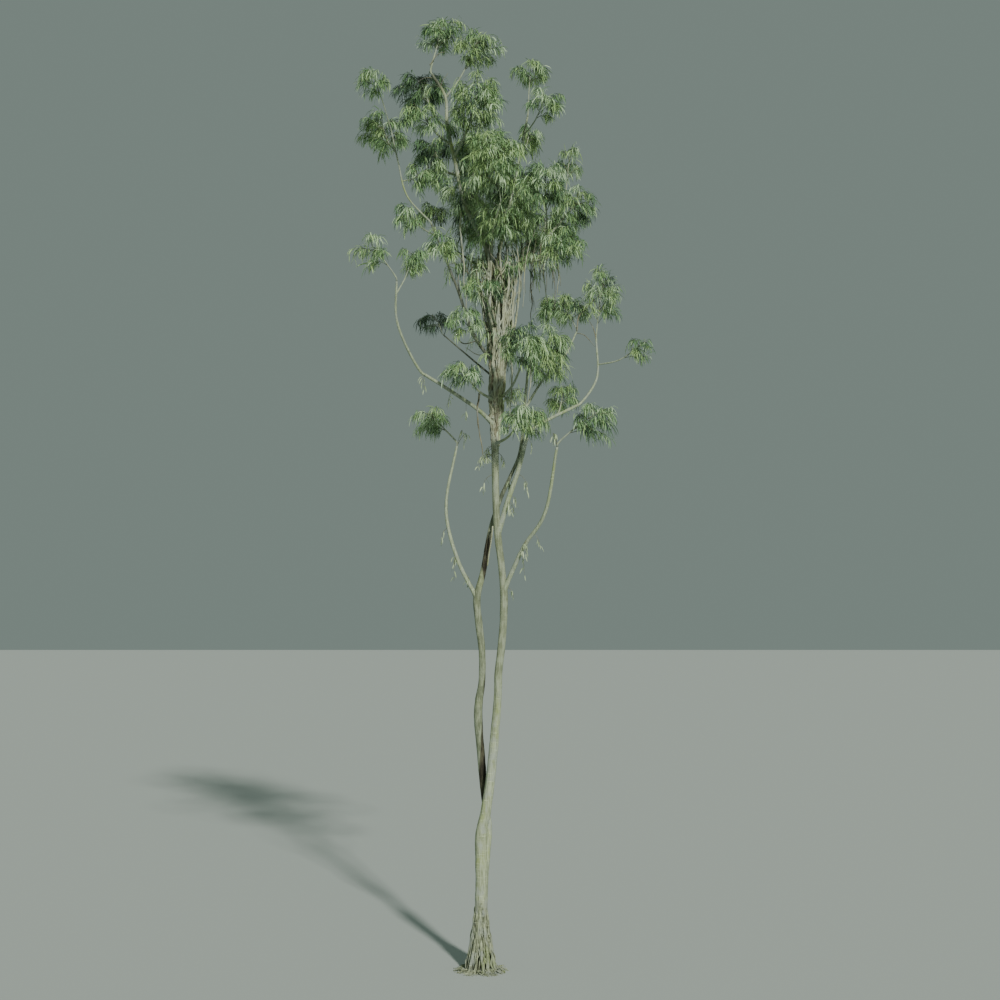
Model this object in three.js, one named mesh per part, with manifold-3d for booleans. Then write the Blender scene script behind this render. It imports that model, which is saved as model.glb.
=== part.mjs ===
// An alii fig: a tall, slender fig tree on two stems that twist round each other, with a skirt of
// prop roots at its foot, aerial roots up its middle, and an open crown of drooping, narrow leaves.
// Millimetres, +Z up. The origin is at the flat cut at ground level, under the middle of the trunk.
import * as THREE from 'three';
import { mergeVertices } from 'three/addons/utils/BufferGeometryUtils.js';
import Module from 'manifold-3d';

const wasm = await Module();
wasm.setup();

// Driving sizes
const GAP = 0.3; // free space between a bough or a foliage stem and the limb that carries it
const TRUNK_SIDES = 10;
const STEM_SIDES = 8;
const BOUGH_SIDES = 6;
const ROOT_SIDES = 4;
const TWIG_SIDES = 3;
const TRUNK_STEP = 620; // length of trunk or stem in one straight facet
const BOUGH_STEP = 430;
const ROOT_STEP = 460;
const BURIED = 80; // how far the roots and trunk run below the ground before the flat cut

const PROP_ROOTS = 12;
const PROP_ROOT_TOP = 1500; // height at which the prop roots leave the trunk
const PROP_ROOT_SPREAD = 285; // distance of their feet from the middle
const SURFACE_ROOT_REACH = 600; // distance of the tips of the roots on the ground
const PROP_ROOT_RADIUS = 36;

const AERIAL_ROOTS = 11;
const AERIAL_ROOT_FOOT = 10950; // height at which the lowest of the aerial roots joins the trunk
const AERIAL_ROOT_FOOT_SPAN = 1300; // height over which their feet are spread, upwards
const AERIAL_ROOT_TOP = 15500; // height at which the highest hangs from the crown
const AERIAL_ROOT_TOP_SPAN = 800; // height over which their tops are spread, downwards
const AERIAL_ROOT_MIDDLE = 430; // middle of their tops, to the right of the origin
const AERIAL_ROOT_RADIUS = 36;
const AERIAL_ROOT_FAN = 340; // spread of their tops to each side of the trunk

const LEAF_LENGTH = 520; // each leaf stands for several, so it is larger than life
const LEAF_WIDTH = 145;
const LEAF_WIDEST = 0.38; // share of the leaf's length at which it is widest
const SHORTEST_LEAF = 0.5; // a leaf cut shorter than this share of its length is left out
const LEAF_CUT = 0.88; // share of its length that a leaf keeps each time it is cut
const LEAF_BASE = 65; // length of twig that a leaf stands on
const LEAF_SPACING = 60; // distance that the sprays of a mass keep from each other
const LEAF_ATTEMPTS = 12; // slopes that are tried for a leaf
const SPRAY_ATTEMPTS = 6; // turns that are tried for a spray
const LEAF_TURNS = [null, 0.2, 0.85]; // turn forwards of the leaves on each stretch of a twig, in radians
const LEAF_FACES = [ // corners 0 to 3 are the base, 4 and 5 the widest place, and 6 the tip
  [0, 1, 5], [0, 5, 4], [1, 2, 5], [5, 2, 6], [4, 5, 6], [3, 0, 4], [3, 4, 6], [2, 3, 6],
];
const LEAF_REACH = 1.2; // share of a space's radius that leaf tips may reach
const SPRAY_SECTION = 0.056; // section of foliage space for each spray, in square metres
const SPRAY_LEVELS = [0.85, -0.35]; // heights of the first and last spray's end in half heights
const SPRAY_REACH = [0.4, 0.6]; // shares of a space's radius to which twigs reach sideways
const LEAFY_SHARE = 0.6; // largest share of a foliage stem that carries sprays
const GOLDEN_ANGLE = Math.PI * (3 - Math.sqrt(5));
const TWIG_HALF_WIDTH = 10;
const TWIG_HEIGHT = 18;
const STEM_TIP_RADIUS = 22;
const CLEARANCE = 14; // free space round limbs that twigs and leaves keep
const OBSTACLE_STEP = 30; // distance between the points on a limb from which that space is measured
const SPACE_MARGIN = 0.07; // share of a space left free along its border with another space

// Trunk: [height, x, y, radius] up its length
const TRUNK = [
  [-BURIED, 0, 0, 190], [500, 0, 0, 150], [1400, 5, 0, 132], [2050, 20, 0, 138], [2750, 5, -10, 122],
  [3250, 95, -30, 108], [3800, 180, -20, 98], [4450, 250, 0, 92], [5000, 300, 0, 88], [5550, 345, 0, 82],
  [6100, 360, 0, 80], [6600, 415, 0, 78], [7150, 460, 0, 78], [7800, 475, 0, 78], [8500, 415, 0, 74],
  [9000, 355, 0, 76], [9500, 320, 0, 74], [10200, 300, 0, 74], [10850, 290, 0, 78], [11300, 290, 0, 86],
  [12300, 310, 0, 94], [13300, 370, 0, 88], [14300, 340, 0, 76], [15250, 110, 0, 54], [16250, -370, 0, 41],
  [17150, -570, 0, 38], [18050, -760, 0, 36], [18700, -810, 0, 33], [19180, -1090, 0, 27],
];

// Foot of the second stem, fused to the back and right of the trunk below the fork
const SECOND_FOOT = [
  [1300, 50, 20, 60], [2000, 90, 40, 72], [2500, 130, 40, 74], [2900, 150, 85, 74], [3250, 90, 190, 73],
];

// Second stem: [height, x, y, radius] up its length
const SECOND_STEM = [
  [3250, 90, 190, 64], [3330, 86, 205, 66], [3700, 50, 260, 78], [4300, 0, 290, 86], [4700, -35, 265, 84],
  [5200, -68, 200, 90], [5550, -50, 170, 83], [5950, 12, 140, 70], [6600, 15, 110, 70],
  [7150, -50, 100, 76], [7700, -95, 100, 78], [8300, 40, 160, 60], [8800, 120, 220, 56],
  [9300, 220, 260, 52], [9850, 400, 270, 47], [10300, 600, 270, 38], [10800, 810, 270, 34],
  [11400, 900, 270, 34], [12050, 950, 270, 31], [12650, 1000, 260, 27],
];

// Boughs: the limb each leaves, the height where it leaves ('tip' for the tip), its radius at the
// foot and at the tip, and the points it runs through to its own tip
const BOUGHS = {
  low_left_bough: ['second_stem', 7700, 45, 24, [[-510, 300, 8530], [-780, 550, 9640], [-560, 900, 11080]]],
  low_right_bough: ['trunk', 7850, 50, 26, [[890, -300, 8780], [1320, -600, 9440], [1580, -950, 10830]]],
  twin_bough: ['trunk', 9050, 56, 46, [[550, -70, 9750], [770, -70, 10400], [960, -50, 11150]]],
  left_bough: ['trunk', 11400, 46, 32, [[-60, -100, 11730], [-610, -400, 12070], [-1180, -700, 12390]]],
  left_bough_upper: [
    'left_bough', 'tip', 29, 20, [[-1540, -1000, 12900], [-1750, -1250, 13480], [-1740, -1400, 14220]],
  ],
  right_bough: ['twin_bough', 'tip', 34, 30, [[1410, 250, 11560], [2080, 600, 11940]]],
  right_bough_upper: ['right_bough', 'tip', 28, 19, [[2540, 900, 12590], [2550, 1100, 13540]]],
  centre_right_bough: ['trunk', 11900, 34, 20, [[620, -300, 12170], [840, -800, 12550]]],
  right_inner_bough: [
    'second_stem', 11800, 28, 16, [[1370, 500, 12540], [1840, 800, 13100], [2110, 1100, 13680]],
  ],
  left_mid_bough: ['trunk', 12700, 40, 19, [[-100, -60, 13250], [-580, -60, 14530], [-1100, 150, 15860]]],
  far_left_bough: [
    'left_mid_bough', 'tip', 19, 15, [[-1630, 100, 16480], [-1840, 50, 17260], [-1980, 100, 17900]],
  ],
  dark_low_bough: ['trunk', 12400, 24, 13, [[-160, 450, 12890], [-880, 1200, 13640]]],
  left_upper_bough: ['trunk', 14450, 30, 18, [[0, 280, 14900], [-550, 450, 15350]]],
  right_upper_bough: ['trunk', 13900, 44, 20, [[940, 100, 14990], [1370, 200, 15520], [1900, 200, 16150]]],
  upper_right_bough: ['trunk', 14700, 44, 20, [[480, 200, 15700], [830, 250, 17400], [1000, 200, 18300]]],
  back_bough: ['trunk', 15100, 34, 18, [[0, 750, 15800], [-150, 1300, 16500]]],
  front_bough: ['trunk', 14950, 30, 16, [[250, -650, 15510], [400, -1150, 15950]]],
};

// Foliage: the limb that carries each mass, the height where its stem leaves ('tip' for the tip),
// the middle of its space, and the space's half width, half depth and half height
const FOLIAGE = {
  foliage_top_left: ['trunk', 'tip', [-920, 300, 20240], [610, 460, 385]],
  foliage_top_right: ['trunk', 18650, [-100, 0, 19800], [580, 450, 430]],
  foliage_far_left_top: ['far_left_bough', 'tip', [-2350, -600, 18790], [370, 360, 400]],
  foliage_far_left: ['far_left_bough', 17450, [-2250, 700, 18040], [550, 440, 680]],
  foliage_left_dark_high: ['trunk', 17900, [-1410, 1400, 19390], [680, 500, 430]],
  foliage_left_high: ['trunk', 17600, [-1310, -800, 17920], [490, 440, 400]],
  foliage_left_dark_mid: ['trunk', 16900, [-1150, 1500, 17930], [560, 500, 340]],
  foliage_left_olive: ['far_left_bough', 16800, [-1190, 250, 16970], [490, 420, 490]],
  foliage_left_low_outer: ['left_mid_bough', 15600, [-1570, -700, 15770], [310, 330, 420]],
  foliage_left_low_back: ['left_mid_bough', 15350, [-1140, 1100, 16370], [380, 380, 350]],
  foliage_left_low_front: ['left_mid_bough', 14800, [-830, -800, 15080], [430, 360, 340]],
  foliage_centre_dark: ['left_upper_bough', 'tip', [-240, 1200, 16160], [310, 420, 490]],
  foliage_centre_high: ['trunk', 17300, [-60, -900, 18230], [590, 480, 640]],
  foliage_centre_upper: ['trunk', 16500, [70, 800, 17750], [720, 520, 560]],
  foliage_centre_front: ['front_bough', 'tip', [240, -1500, 16760], [720, 540, 700]],
  foliage_centre_back: ['back_bough', 'tip', [-80, 1800, 17050], [600, 520, 600]],
  foliage_core_back: ['upper_right_bough', 16200, [720, 1250, 16950], [580, 520, 600]],
  foliage_core_low: ['upper_right_bough', 15400, [520, -600, 15730], [720, 500, 500]],
  foliage_right_high: ['right_upper_bough', 15600, [1340, -1200, 16320], [570, 500, 560]],
  foliage_right_back: ['right_upper_bough', 15400, [1440, 1300, 16050], [580, 500, 560]],
  foliage_right_spike: ['right_upper_bough', 15950, [1960, 900, 17490], [290, 310, 500]],
  foliage_right_outer: ['right_upper_bough', 'tip', [2080, 100, 16260], [450, 460, 500]],
  foliage_right_low: ['right_upper_bough', 15000, [1740, -1000, 14980], [500, 420, 500]],
  foliage_crown_right_top: ['upper_right_bough', 'tip', [1080, 500, 19420], [420, 390, 300]],
  foliage_crown_right: ['upper_right_bough', 17900, [1370, -600, 18280], [440, 390, 400]],
  foliage_crown_right_low: ['upper_right_bough', 17450, [1070, 900, 18040], [290, 310, 430]],
  foliage_left_tip: ['left_bough_upper', 'tip', [-2220, -1900, 14680], [400, 390, 450]],
  foliage_left_tip_inner: ['left_bough_upper', 13950, [-1410, -1200, 14700], [340, 310, 350]],
  foliage_dark_low: ['dark_low_bough', 'tip', [-1080, 1700, 13990], [430, 410, 320]],
  foliage_left_inner: ['left_mid_bough', 13200, [-340, -1000, 13430], [380, 350, 430]],
  foliage_left_lower: ['trunk', 11950, [-420, -900, 12340], [440, 370, 360]],
  foliage_front_inner: ['trunk', 13500, [60, -1300, 14060], [460, 380, 320]],
  foliage_right_inner: ['centre_right_bough', 'tip', [860, -1500, 12900], [490, 420, 480]],
  foliage_right_middle: ['second_stem', 'tip', [1480, -300, 12930], [530, 450, 680]],
  foliage_right_hanging: ['right_bough', 11700, [1790, 900, 12080], [380, 370, 470]],
  foliage_low_centre: ['trunk', 11000, [880, -1000, 11300], [510, 420, 430]],
  foliage_right_shelf: ['right_inner_bough', 'tip', [1800, 1500, 14230], [640, 490, 490]],
  foliage_right_top: ['right_bough_upper', 'tip', [2710, 1200, 14500], [460, 450, 740]],
  foliage_far_right: ['right_bough_upper', 12900, [3480, 600, 13120], [310, 310, 350]],
  foliage_low_left: ['low_left_bough', 'tip', [-1160, 1100, 11620], [440, 400, 450]],
  foliage_low_right: ['low_right_bough', 'tip', [2390, -1200, 11290], [480, 400, 560]],
};

const BARK = new THREE.MeshStandardMaterial({ color: 0x9ba38e, roughness: 0.85, metalness: 0 });
const LEAF = new THREE.MeshStandardMaterial({ color: 0x5a7a3c, roughness: 0.55, metalness: 0 });

// Small helpers

// A seeded source of numbers from 0 to 1, so that the tree grows the same way each time
function seededNumbers(text) {
  let state = [...text].reduce((sum, letter) => (sum * 31 + letter.charCodeAt(0)) >>> 0, 7);
  return () => {
    state = (state + 0x6d2b79f5) >>> 0;
    let mixed = Math.imul(state ^ (state >>> 15), state | 1);
    mixed ^= mixed + Math.imul(mixed ^ (mixed >>> 7), mixed | 61);
    return ((mixed ^ (mixed >>> 14)) >>> 0) / 4294967296;
  };
}

const vector = (x, y, z) => new THREE.Vector3(x, y, z);
const UP = vector(0, 0, 1);
const edgeRay = new THREE.Ray();
const pierced = vector(0, 0, 0);

// The value at share t of a list of evenly spread values
function valueAlong(values, t) {
  const place = Math.min(Math.max(t, 0), 1) * (values.length - 1);
  const first = Math.min(Math.floor(place), values.length - 2);
  return THREE.MathUtils.lerp(values[first], values[first + 1], place - first);
}

// Solids

function solidOf(geometry) {
  return new wasm.Manifold(new wasm.Mesh({
    numProp: 3,
    vertProperties: geometry.attributes.position.array,
    triVerts: new Uint32Array(geometry.index.array),
  }));
}

function positionsOnly(geometry) {
  geometry.deleteAttribute('normal');
  geometry.deleteAttribute('uv');
  return mergeVertices(geometry, 1e-4);
}

// A tapering tube: a cylinder bent along the curve, with its radius taken at each step
function tube(curve, radiusAt, sides, steps, grow = 0) {
  const geometry = positionsOnly(new THREE.CylinderGeometry(1, 1, 1, sides, steps));
  const frames = curve.computeFrenetFrames(steps, false);
  const place = geometry.attributes.position;
  for (let i = 0; i < place.count; i++) {
    const step = Math.round((place.getY(i) + 0.5) * steps);
    const radius = radiusAt(step / steps) + grow;
    const point = curve.getPointAt(step / steps);
    point.addScaledVector(frames.binormals[step], place.getX(i) * radius);
    point.addScaledVector(frames.normals[step], place.getZ(i) * radius);
    if (step === steps) point.addScaledVector(frames.tangents[step], grow);
    if (step === 0) point.addScaledVector(frames.tangents[0], -grow);
    place.setXYZ(i, point.x, point.y, point.z);
  }
  return solidOf(geometry);
}

function largestBody(solid) {
  return solid.decompose().reduce((best, body) => (body.volume() > best.volume() ? body : best));
}

function meshOf(name, solid, material) {
  const made = solid.getMesh();
  const geometry = new THREE.BufferGeometry();
  geometry.setAttribute('position', new THREE.BufferAttribute(made.vertProperties, 3));
  geometry.setIndex(new THREE.BufferAttribute(made.triVerts, 1));
  geometry.computeVertexNormals();
  const mesh = new THREE.Mesh(geometry, material);
  mesh.name = name;
  return mesh;
}

// Limbs: a limb is a curve with a radius along it, and knows how to make its own solid

function limbFromHeights(rows, sides) {
  const curve = new THREE.CatmullRomCurve3(rows.map(([z, x, y]) => vector(x, y, z)));
  curve.arcLengthDivisions = 400;
  const heights = rows.map((row) => row[0]);
  const radiusAtHeight = (z) => {
    const above = Math.max(heights.findIndex((height) => height > z), 1);
    const share = (z - heights[above - 1]) / (heights[above] - heights[above - 1]);
    const limited = z >= heights.at(-1) ? 1 : THREE.MathUtils.clamp(share, 0, 1);
    const last = z >= heights.at(-1) ? rows.length - 1 : above;
    return THREE.MathUtils.lerp(rows[last - 1][3], rows[last][3], limited);
  };
  return { curve, sides, step: TRUNK_STEP, radiusAt: (t) => radiusAtHeight(curve.getPointAt(t).z) };
}

function shareAtHeight(limb, height) {
  if (height === 'tip') return 1;
  let low = 0;
  let high = 1;
  for (let i = 0; i < 30; i++) {
    const middle = (low + high) / 2;
    if (limb.curve.getPointAt(middle).z < height) low = middle;
    else high = middle;
  }
  return low;
}

// Where a limb starts: in the middle of the limb that carries it, or straight on from its tip
function growthStart(parent, height, straight) {
  const share = shareAtHeight(parent, height);
  const foot = parent.curve.getPointAt(share);
  if (share < 1) return [foot];
  return [foot, foot.clone().addScaledVector(parent.curve.getTangentAt(1), straight)];
}

function boughFrom(parent, height, points, footRadius, tipRadius) {
  const start = growthStart(parent, height, footRadius * 3);
  const curve = new THREE.CatmullRomCurve3([...start, ...points.map((point) => vector(...point))]);
  const radiusAt = (t) => THREE.MathUtils.lerp(footRadius, tipRadius, t);
  return { curve, sides: BOUGH_SIDES, step: BOUGH_STEP, radiusAt };
}

function limbSolid(limb, grow = 0) {
  const steps = Math.max(3, Math.round(limb.curve.getLength() / limb.step));
  return tube(limb.curve, limb.radiusAt, limb.sides, steps, grow);
}

// Roots

// A prop root: down the side of the trunk, out over the ground, and tapering to its tip
function propRoot(index, random) {
  const turn = ((index + 0.6 * random()) / PROP_ROOTS) * 2 * Math.PI;
  const twist = (random() - 0.5) * 0.9;
  const out = (angle, distance, z) => vector(Math.cos(angle) * distance, Math.sin(angle) * distance, z);
  const top = PROP_ROOT_TOP * (0.78 + 0.22 * random());
  const foot = PROP_ROOT_SPREAD * (0.85 + 0.3 * random());
  const reach = SURFACE_ROOT_REACH * (0.8 + 0.2 * random());
  const curve = new THREE.CatmullRomCurve3([
    out(turn + twist, 100, top),
    out(turn + twist * 0.7, 158, top * 0.6),
    out(turn, foot * 0.86, top * 0.2),
    out(turn - twist * 0.2, foot * 1.1, 24),
    out(turn - twist * 0.6, reach, 6),
  ]);
  const radius = PROP_ROOT_RADIUS * (0.8 + 0.4 * random());
  const radiusAt = (t) => radius * valueAlong([0.8, 1, 1.05, 0.95, 0.45], t);
  return { curve, sides: ROOT_SIDES, step: ROOT_STEP, radiusAt };
}

// An aerial root: from the trunk up to the boughs of the crown, which it hung down from
function aerialRoot(index, random) {
  const turn = ((index + 0.5 * random()) / AERIAL_ROOTS) * 2 * Math.PI;
  const foot = AERIAL_ROOT_FOOT + AERIAL_ROOT_FOOT_SPAN * random();
  const top = AERIAL_ROOT_TOP - AERIAL_ROOT_TOP_SPAN * random();
  const middle = trunkAt(foot + (top - foot) * 0.45);
  const start = trunkAt(foot);
  const fan = AERIAL_ROOT_FAN * (0.45 + 0.55 * random());
  const from = (point, distance, z) =>
    vector(point.x + Math.cos(turn) * distance, point.y + Math.sin(turn) * distance, z);
  const topMiddle = vector(AERIAL_ROOT_MIDDLE, 0, top);
  const curve = new THREE.CatmullRomCurve3([
    from(start, 45, foot),
    from(middle, 65 + fan * 0.25, foot + (top - foot) * 0.35),
    from(middle, 85 + fan * 0.75, foot + (top - foot) * 0.65),
    from(topMiddle, 90 + fan * 1.15, top),
  ]);
  const radius = AERIAL_ROOT_RADIUS * (0.75 + 0.5 * random());
  const radiusAt = (t) => radius * valueAlong([1.15, 1, 0.8, 0.55], t);
  return { curve, sides: ROOT_SIDES - 1, step: ROOT_STEP * 2, radiusAt };
}

const trunk = limbFromHeights(TRUNK, TRUNK_SIDES);
const trunkAt = (height) => trunk.curve.getPointAt(shareAtHeight(trunk, height));

// Every limb of the trunk node: the trunk itself, the fused foot of the second stem, and the roots
function trunkPieces() {
  const random = seededNumbers('roots');
  const pieces = [trunk, limbFromHeights(SECOND_FOOT, STEM_SIDES)];
  for (let i = 0; i < PROP_ROOTS; i++) pieces.push(propRoot(i, random));
  for (let i = 0; i < AERIAL_ROOTS; i++) pieces.push(aerialRoot(i, random));
  return pieces;
}

// The trunk node: all its pieces joined, and cut flat at ground level
function trunkSolid(pieces, grow = 0) {
  const joined = wasm.Manifold.union(pieces.map((piece) => limbSolid(piece, grow)));
  const side = 4 * SURFACE_ROOT_REACH;
  const below = positionsOnly(new THREE.BoxGeometry(side, side, side));
  below.translate(0, 0, -side / 2);
  return largestBody(joined.subtract(solidOf(below)));
}

// Foliage

// The share of a space's radius at which a point lies: 0 in its middle, 1 on its border
function depthInSpace(space, point) {
  const [x, y, z] = space.middle;
  const [wide, deep, high] = space.half;
  return Math.hypot((point.x - x) / wide, (point.y - y) / deep, (point.z - z) / high);
}

function insideSpace(space, spaces, point, reach = 1) {
  const own = depthInSpace(space, point);
  if (own > reach) return false;
  return spaces.every((other) => other === space || depthInSpace(other, point) > own + SPACE_MARGIN);
}

// Points along each limb and foliage stem, with their radius, that twigs and leaves stay clear of
function obstaclesOf(limb, owner) {
  const count = Math.ceil(limb.curve.getLength() / OBSTACLE_STEP);
  const points = limb.curve.getSpacedPoints(count);
  return points.map((point, i) => ({ point, owner, radius: limb.radiusAt(i / count) }));
}

function isClear(points, size, obstacles) {
  return points.every((point) =>
    obstacles.every((o) => point.distanceTo(o.point) > o.radius + size + CLEARANCE));
}

function isApart(points, others) {
  return points.every((point) => others.every((other) => point.distanceTo(other) > LEAF_SPACING));
}

function pointsBetween(start, end, count) {
  return Array.from({ length: count + 1 }, (_, i) => start.clone().lerp(end, i / count));
}

// The stem of a mass: from its limb, bending up to the upper half of its space
function foliageStem(limb, height, space) {
  const share = shareAtHeight(limb, height);
  const footRadius = Math.min(limb.radiusAt(share) * 0.85, STEM_TIP_RADIUS * 1.5);
  const start = growthStart(limb, height, footRadius * 3);
  const end = vector(...space.middle).addScaledVector(UP, space.half[2] * 0.4);
  const bend = start[0].clone().lerp(end, 0.5);
  bend.addScaledVector(UP, (share === 1 ? 0.06 : -0.1) * start[0].distanceTo(end));
  const curve = new THREE.CatmullRomCurve3([...start, bend, end]);
  const radiusAt = (t) => THREE.MathUtils.lerp(footRadius, Math.min(footRadius, STEM_TIP_RADIUS), t);
  return { curve, sides: TWIG_SIDES, step: BOUGH_STEP, radiusAt };
}

// The triangles of a leaf: from the four corners of its base, two on the twig's edge and two on its
// keel, over the two corners where it is widest, to its tip
function leafTriangles(base, corners) {
  const all = [...base, ...corners];
  const faces = LEAF_FACES.map((face) => face.map((i) => all[i]));
  return faces.filter(([a, b]) => a !== b);
}

// Whether an edge of one set of triangles passes through a triangle of the other
function pierces(triangles, targets) {
  return triangles.some((triangle) => triangle.some((start, i) => {
    const end = triangle[(i + 1) % 3];
    const length = start.distanceTo(end);
    edgeRay.set(start, end.clone().sub(start).divideScalar(length));
    return targets.some((target) => !target.includes(start) && !target.includes(end)
      && edgeRay.intersectTriangle(...target, false, pierced) !== null
      && start.distanceTo(pierced) < length);
  }));
}

// A leaf that droops from the edge of a twig, shortened until it keeps to its space, clear of limbs
// and clear of the leaves round it, or nothing where it can't be
function growLeaf(base, outwards, level, spray, grower) {
  const { space, spaces, obstacles, stem, others, random } = grower;
  const root = base[0].clone().lerp(base[1], 0.5);
  for (let attempt = 0; attempt < LEAF_ATTEMPTS; attempt++) {
    const droop = (1.5 - level) * (0.3 + 1.1 * random());
    const along = outwards.clone().addScaledVector(UP, -droop).normalize();
    const across = base[0].clone().sub(base[1]);
    across.addScaledVector(along, -across.dot(along)).normalize();
    for (let length = LEAF_LENGTH; length >= LEAF_LENGTH * SHORTEST_LEAF; length *= LEAF_CUT) {
      const half = (LEAF_WIDTH / 2) * (length / LEAF_LENGTH);
      const tip = root.clone().addScaledVector(along, length);
      const widest = root.clone().lerp(tip, LEAF_WIDEST);
      const corners = [
        widest.clone().addScaledVector(across, half),
        widest.clone().addScaledVector(across, -half),
        tip,
      ];
      const blade = pointsBetween(root, tip, 8).slice(1);
      const fits = corners.every((point) => insideSpace(space, spaces, point, LEAF_REACH));
      const free = isClear(blade, half * 0.7, obstacles) && isClear(blade.slice(2), half * 0.7, stem);
      if (!fits || !free || !isApart(blade, others)) continue;
      const triangles = leafTriangles(base, corners);
      if (!pierces(triangles, spray) && !pierces(spray, triangles)) return { triangles, blade };
    }
  }
  return null;
}

// The solid within triangles that share their corners
function solidOfTriangles(triangles) {
  const corners = [...new Set(triangles.flat())];
  const places = new Map(corners.map((corner, i) => [corner, i]));
  const geometry = new THREE.BufferGeometry().setFromPoints(corners);
  return solidOf(geometry.setIndex(triangles.flat().map((corner) => places.get(corner))));
}

// A spray: a twig that arches out from its foot, with two pairs of leaves and a leaf at its end,
// or nothing where the twig would leave its space or touch a limb
function growSpray(foot, end, level, grower) {
  const reach = foot.distanceTo(end);
  const arch = foot.clone().lerp(end, 0.55).addScaledVector(UP, reach * 0.14);
  const curve = new THREE.QuadraticBezierCurve3(foot, arch, end);
  const length = curve.getLength();
  const base = LEAF_BASE / length;
  const shares = [0, Math.max(1 - 2 * base, 0.3), Math.max(1 - base, 0.65), 1];
  const span = shares.map((share) => curve.getPointAt(share));
  const stays = span.slice(1).every((point) => insideSpace(grower.space, grower.spaces, point));
  const line = curve.getSpacedPoints(8);
  if (!stays || !isApart(line.slice(2), grower.others)) return null;
  if (!isClear(line, TWIG_HALF_WIDTH, grower.obstacles)) return null;

  const outwards = end.clone().sub(foot).setZ(0).normalize();
  const sideways = outwards.clone().cross(UP);
  const rings = span.map((point, i) => {
    const top = sideways.clone().cross(curve.getTangentAt(shares[i])).multiplyScalar(TWIG_HEIGHT);
    const high = point.clone().addScaledVector(top, 1 / 3);
    return [
      high.clone().addScaledVector(sideways, -TWIG_HALF_WIDTH),
      high.clone().addScaledVector(sideways, TWIG_HALF_WIDTH),
      point.clone().addScaledVector(top, -2 / 3),
    ];
  });
  const triangles = [[rings[0][0], rings[0][2], rings[0][1]]];
  const blades = [];
  const closeSide = (base, direction) => {
    const [a, b, c, d] = base;
    const leaf = direction && growLeaf(base, direction, level, triangles, grower);
    const bare = [[a, b, c], [a, c, d]].filter((face) => new Set(face).size === 3);
    triangles.push(...(leaf ? leaf.triangles : bare));
    blades.push(...(leaf ? leaf.blade : []));
  };
  const turned = (sign, forward) => sideways.clone().multiplyScalar(sign)
    .applyAxisAngle(UP, sign * (forward + 0.3 * (grower.random() - 0.5)));
  rings.slice(1).forEach((front, i) => {
    const [left, right, keel] = rings[i];
    const forward = LEAF_TURNS[i];
    closeSide([left, right, front[1], front[0]], null);
    closeSide([front[1], right, keel, front[2]], forward === null ? null : turned(1, forward));
    closeSide([left, front[0], front[2], keel], forward === null ? null : turned(-1, forward));
  });
  const [left, right, keel] = rings.at(-1);
  closeSide([left, right, keel, keel], outwards);
  grower.others.push(...line.slice(2), ...blades);
  return blades.length ? solidOfTriangles(triangles) : null;
}

// A mass of leaves: sprays that leave its stem at even steps, turned by the golden angle each time
function foliageSolid(name, stem, space, spaces, obstacles) {
  const random = seededNumbers(name);
  const near = obstacles.filter((obstacle) => depthInSpace(space, obstacle.point) < 2);
  const grower = {
    space,
    spaces,
    random,
    obstacles: near.filter((obstacle) => obstacle.owner !== name),
    stem: near.filter((obstacle) => obstacle.owner === name),
    others: [],
  };
  const [wide, deep, high] = space.half;
  const section = Math.pow((wide * deep * high) / 1e9, 2 / 3);
  const sprays = Math.max(3, Math.round(section / SPRAY_SECTION));
  const leafyShare = Math.min((1.2 * high) / stem.curve.getLength(), LEAFY_SHARE);
  const pieces = [limbSolid(stem)];
  const firstTurn = random() * 2 * Math.PI;
  for (let i = 0; i < sprays; i++) {
    const share = i / (sprays - 1);
    const foot = stem.curve.getPointAt(0.98 - leafyShare * share);
    const level = THREE.MathUtils.lerp(...SPRAY_LEVELS, share);
    for (let attempt = 0; attempt < SPRAY_ATTEMPTS; attempt++) {
      const turn = firstTurn + i * GOLDEN_ANGLE + attempt * 0.5;
      const out = THREE.MathUtils.lerp(...SPRAY_REACH, random());
      const end = vector(Math.cos(turn) * wide * out, Math.sin(turn) * deep * out, level * high)
        .add(vector(...space.middle));
      const spray = growSpray(foot, end, level, grower);
      if (spray) {
        pieces.push(spray);
        break;
      }
    }
  }
  return wasm.Manifold.union(pieces);
}

// The tree

const limbs = { trunk, second_stem: limbFromHeights(SECOND_STEM, STEM_SIDES) };
for (const [name, [parent, height, footRadius, tipRadius, points]] of Object.entries(BOUGHS)) {
  limbs[name] = boughFrom(limbs[parent], height, points, footRadius, tipRadius);
}

const pieces = trunkPieces();
const grownTrunk = trunkSolid(pieces, GAP);
const grownLimb = (name) => (name === 'trunk' ? grownTrunk : limbSolid(limbs[name], GAP));
const clearOf = (solid, name) => largestBody(solid.subtract(grownLimb(name)));

const tree = new THREE.Group();
tree.add(meshOf('trunk', trunkSolid(pieces), BARK));
tree.add(meshOf('second_stem', clearOf(limbSolid(limbs.second_stem), 'trunk'), BARK));
for (const [name, [parent]] of Object.entries(BOUGHS)) {
  tree.add(meshOf(name, clearOf(clearOf(limbSolid(limbs[name]), parent), 'trunk'), BARK));
}

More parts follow.
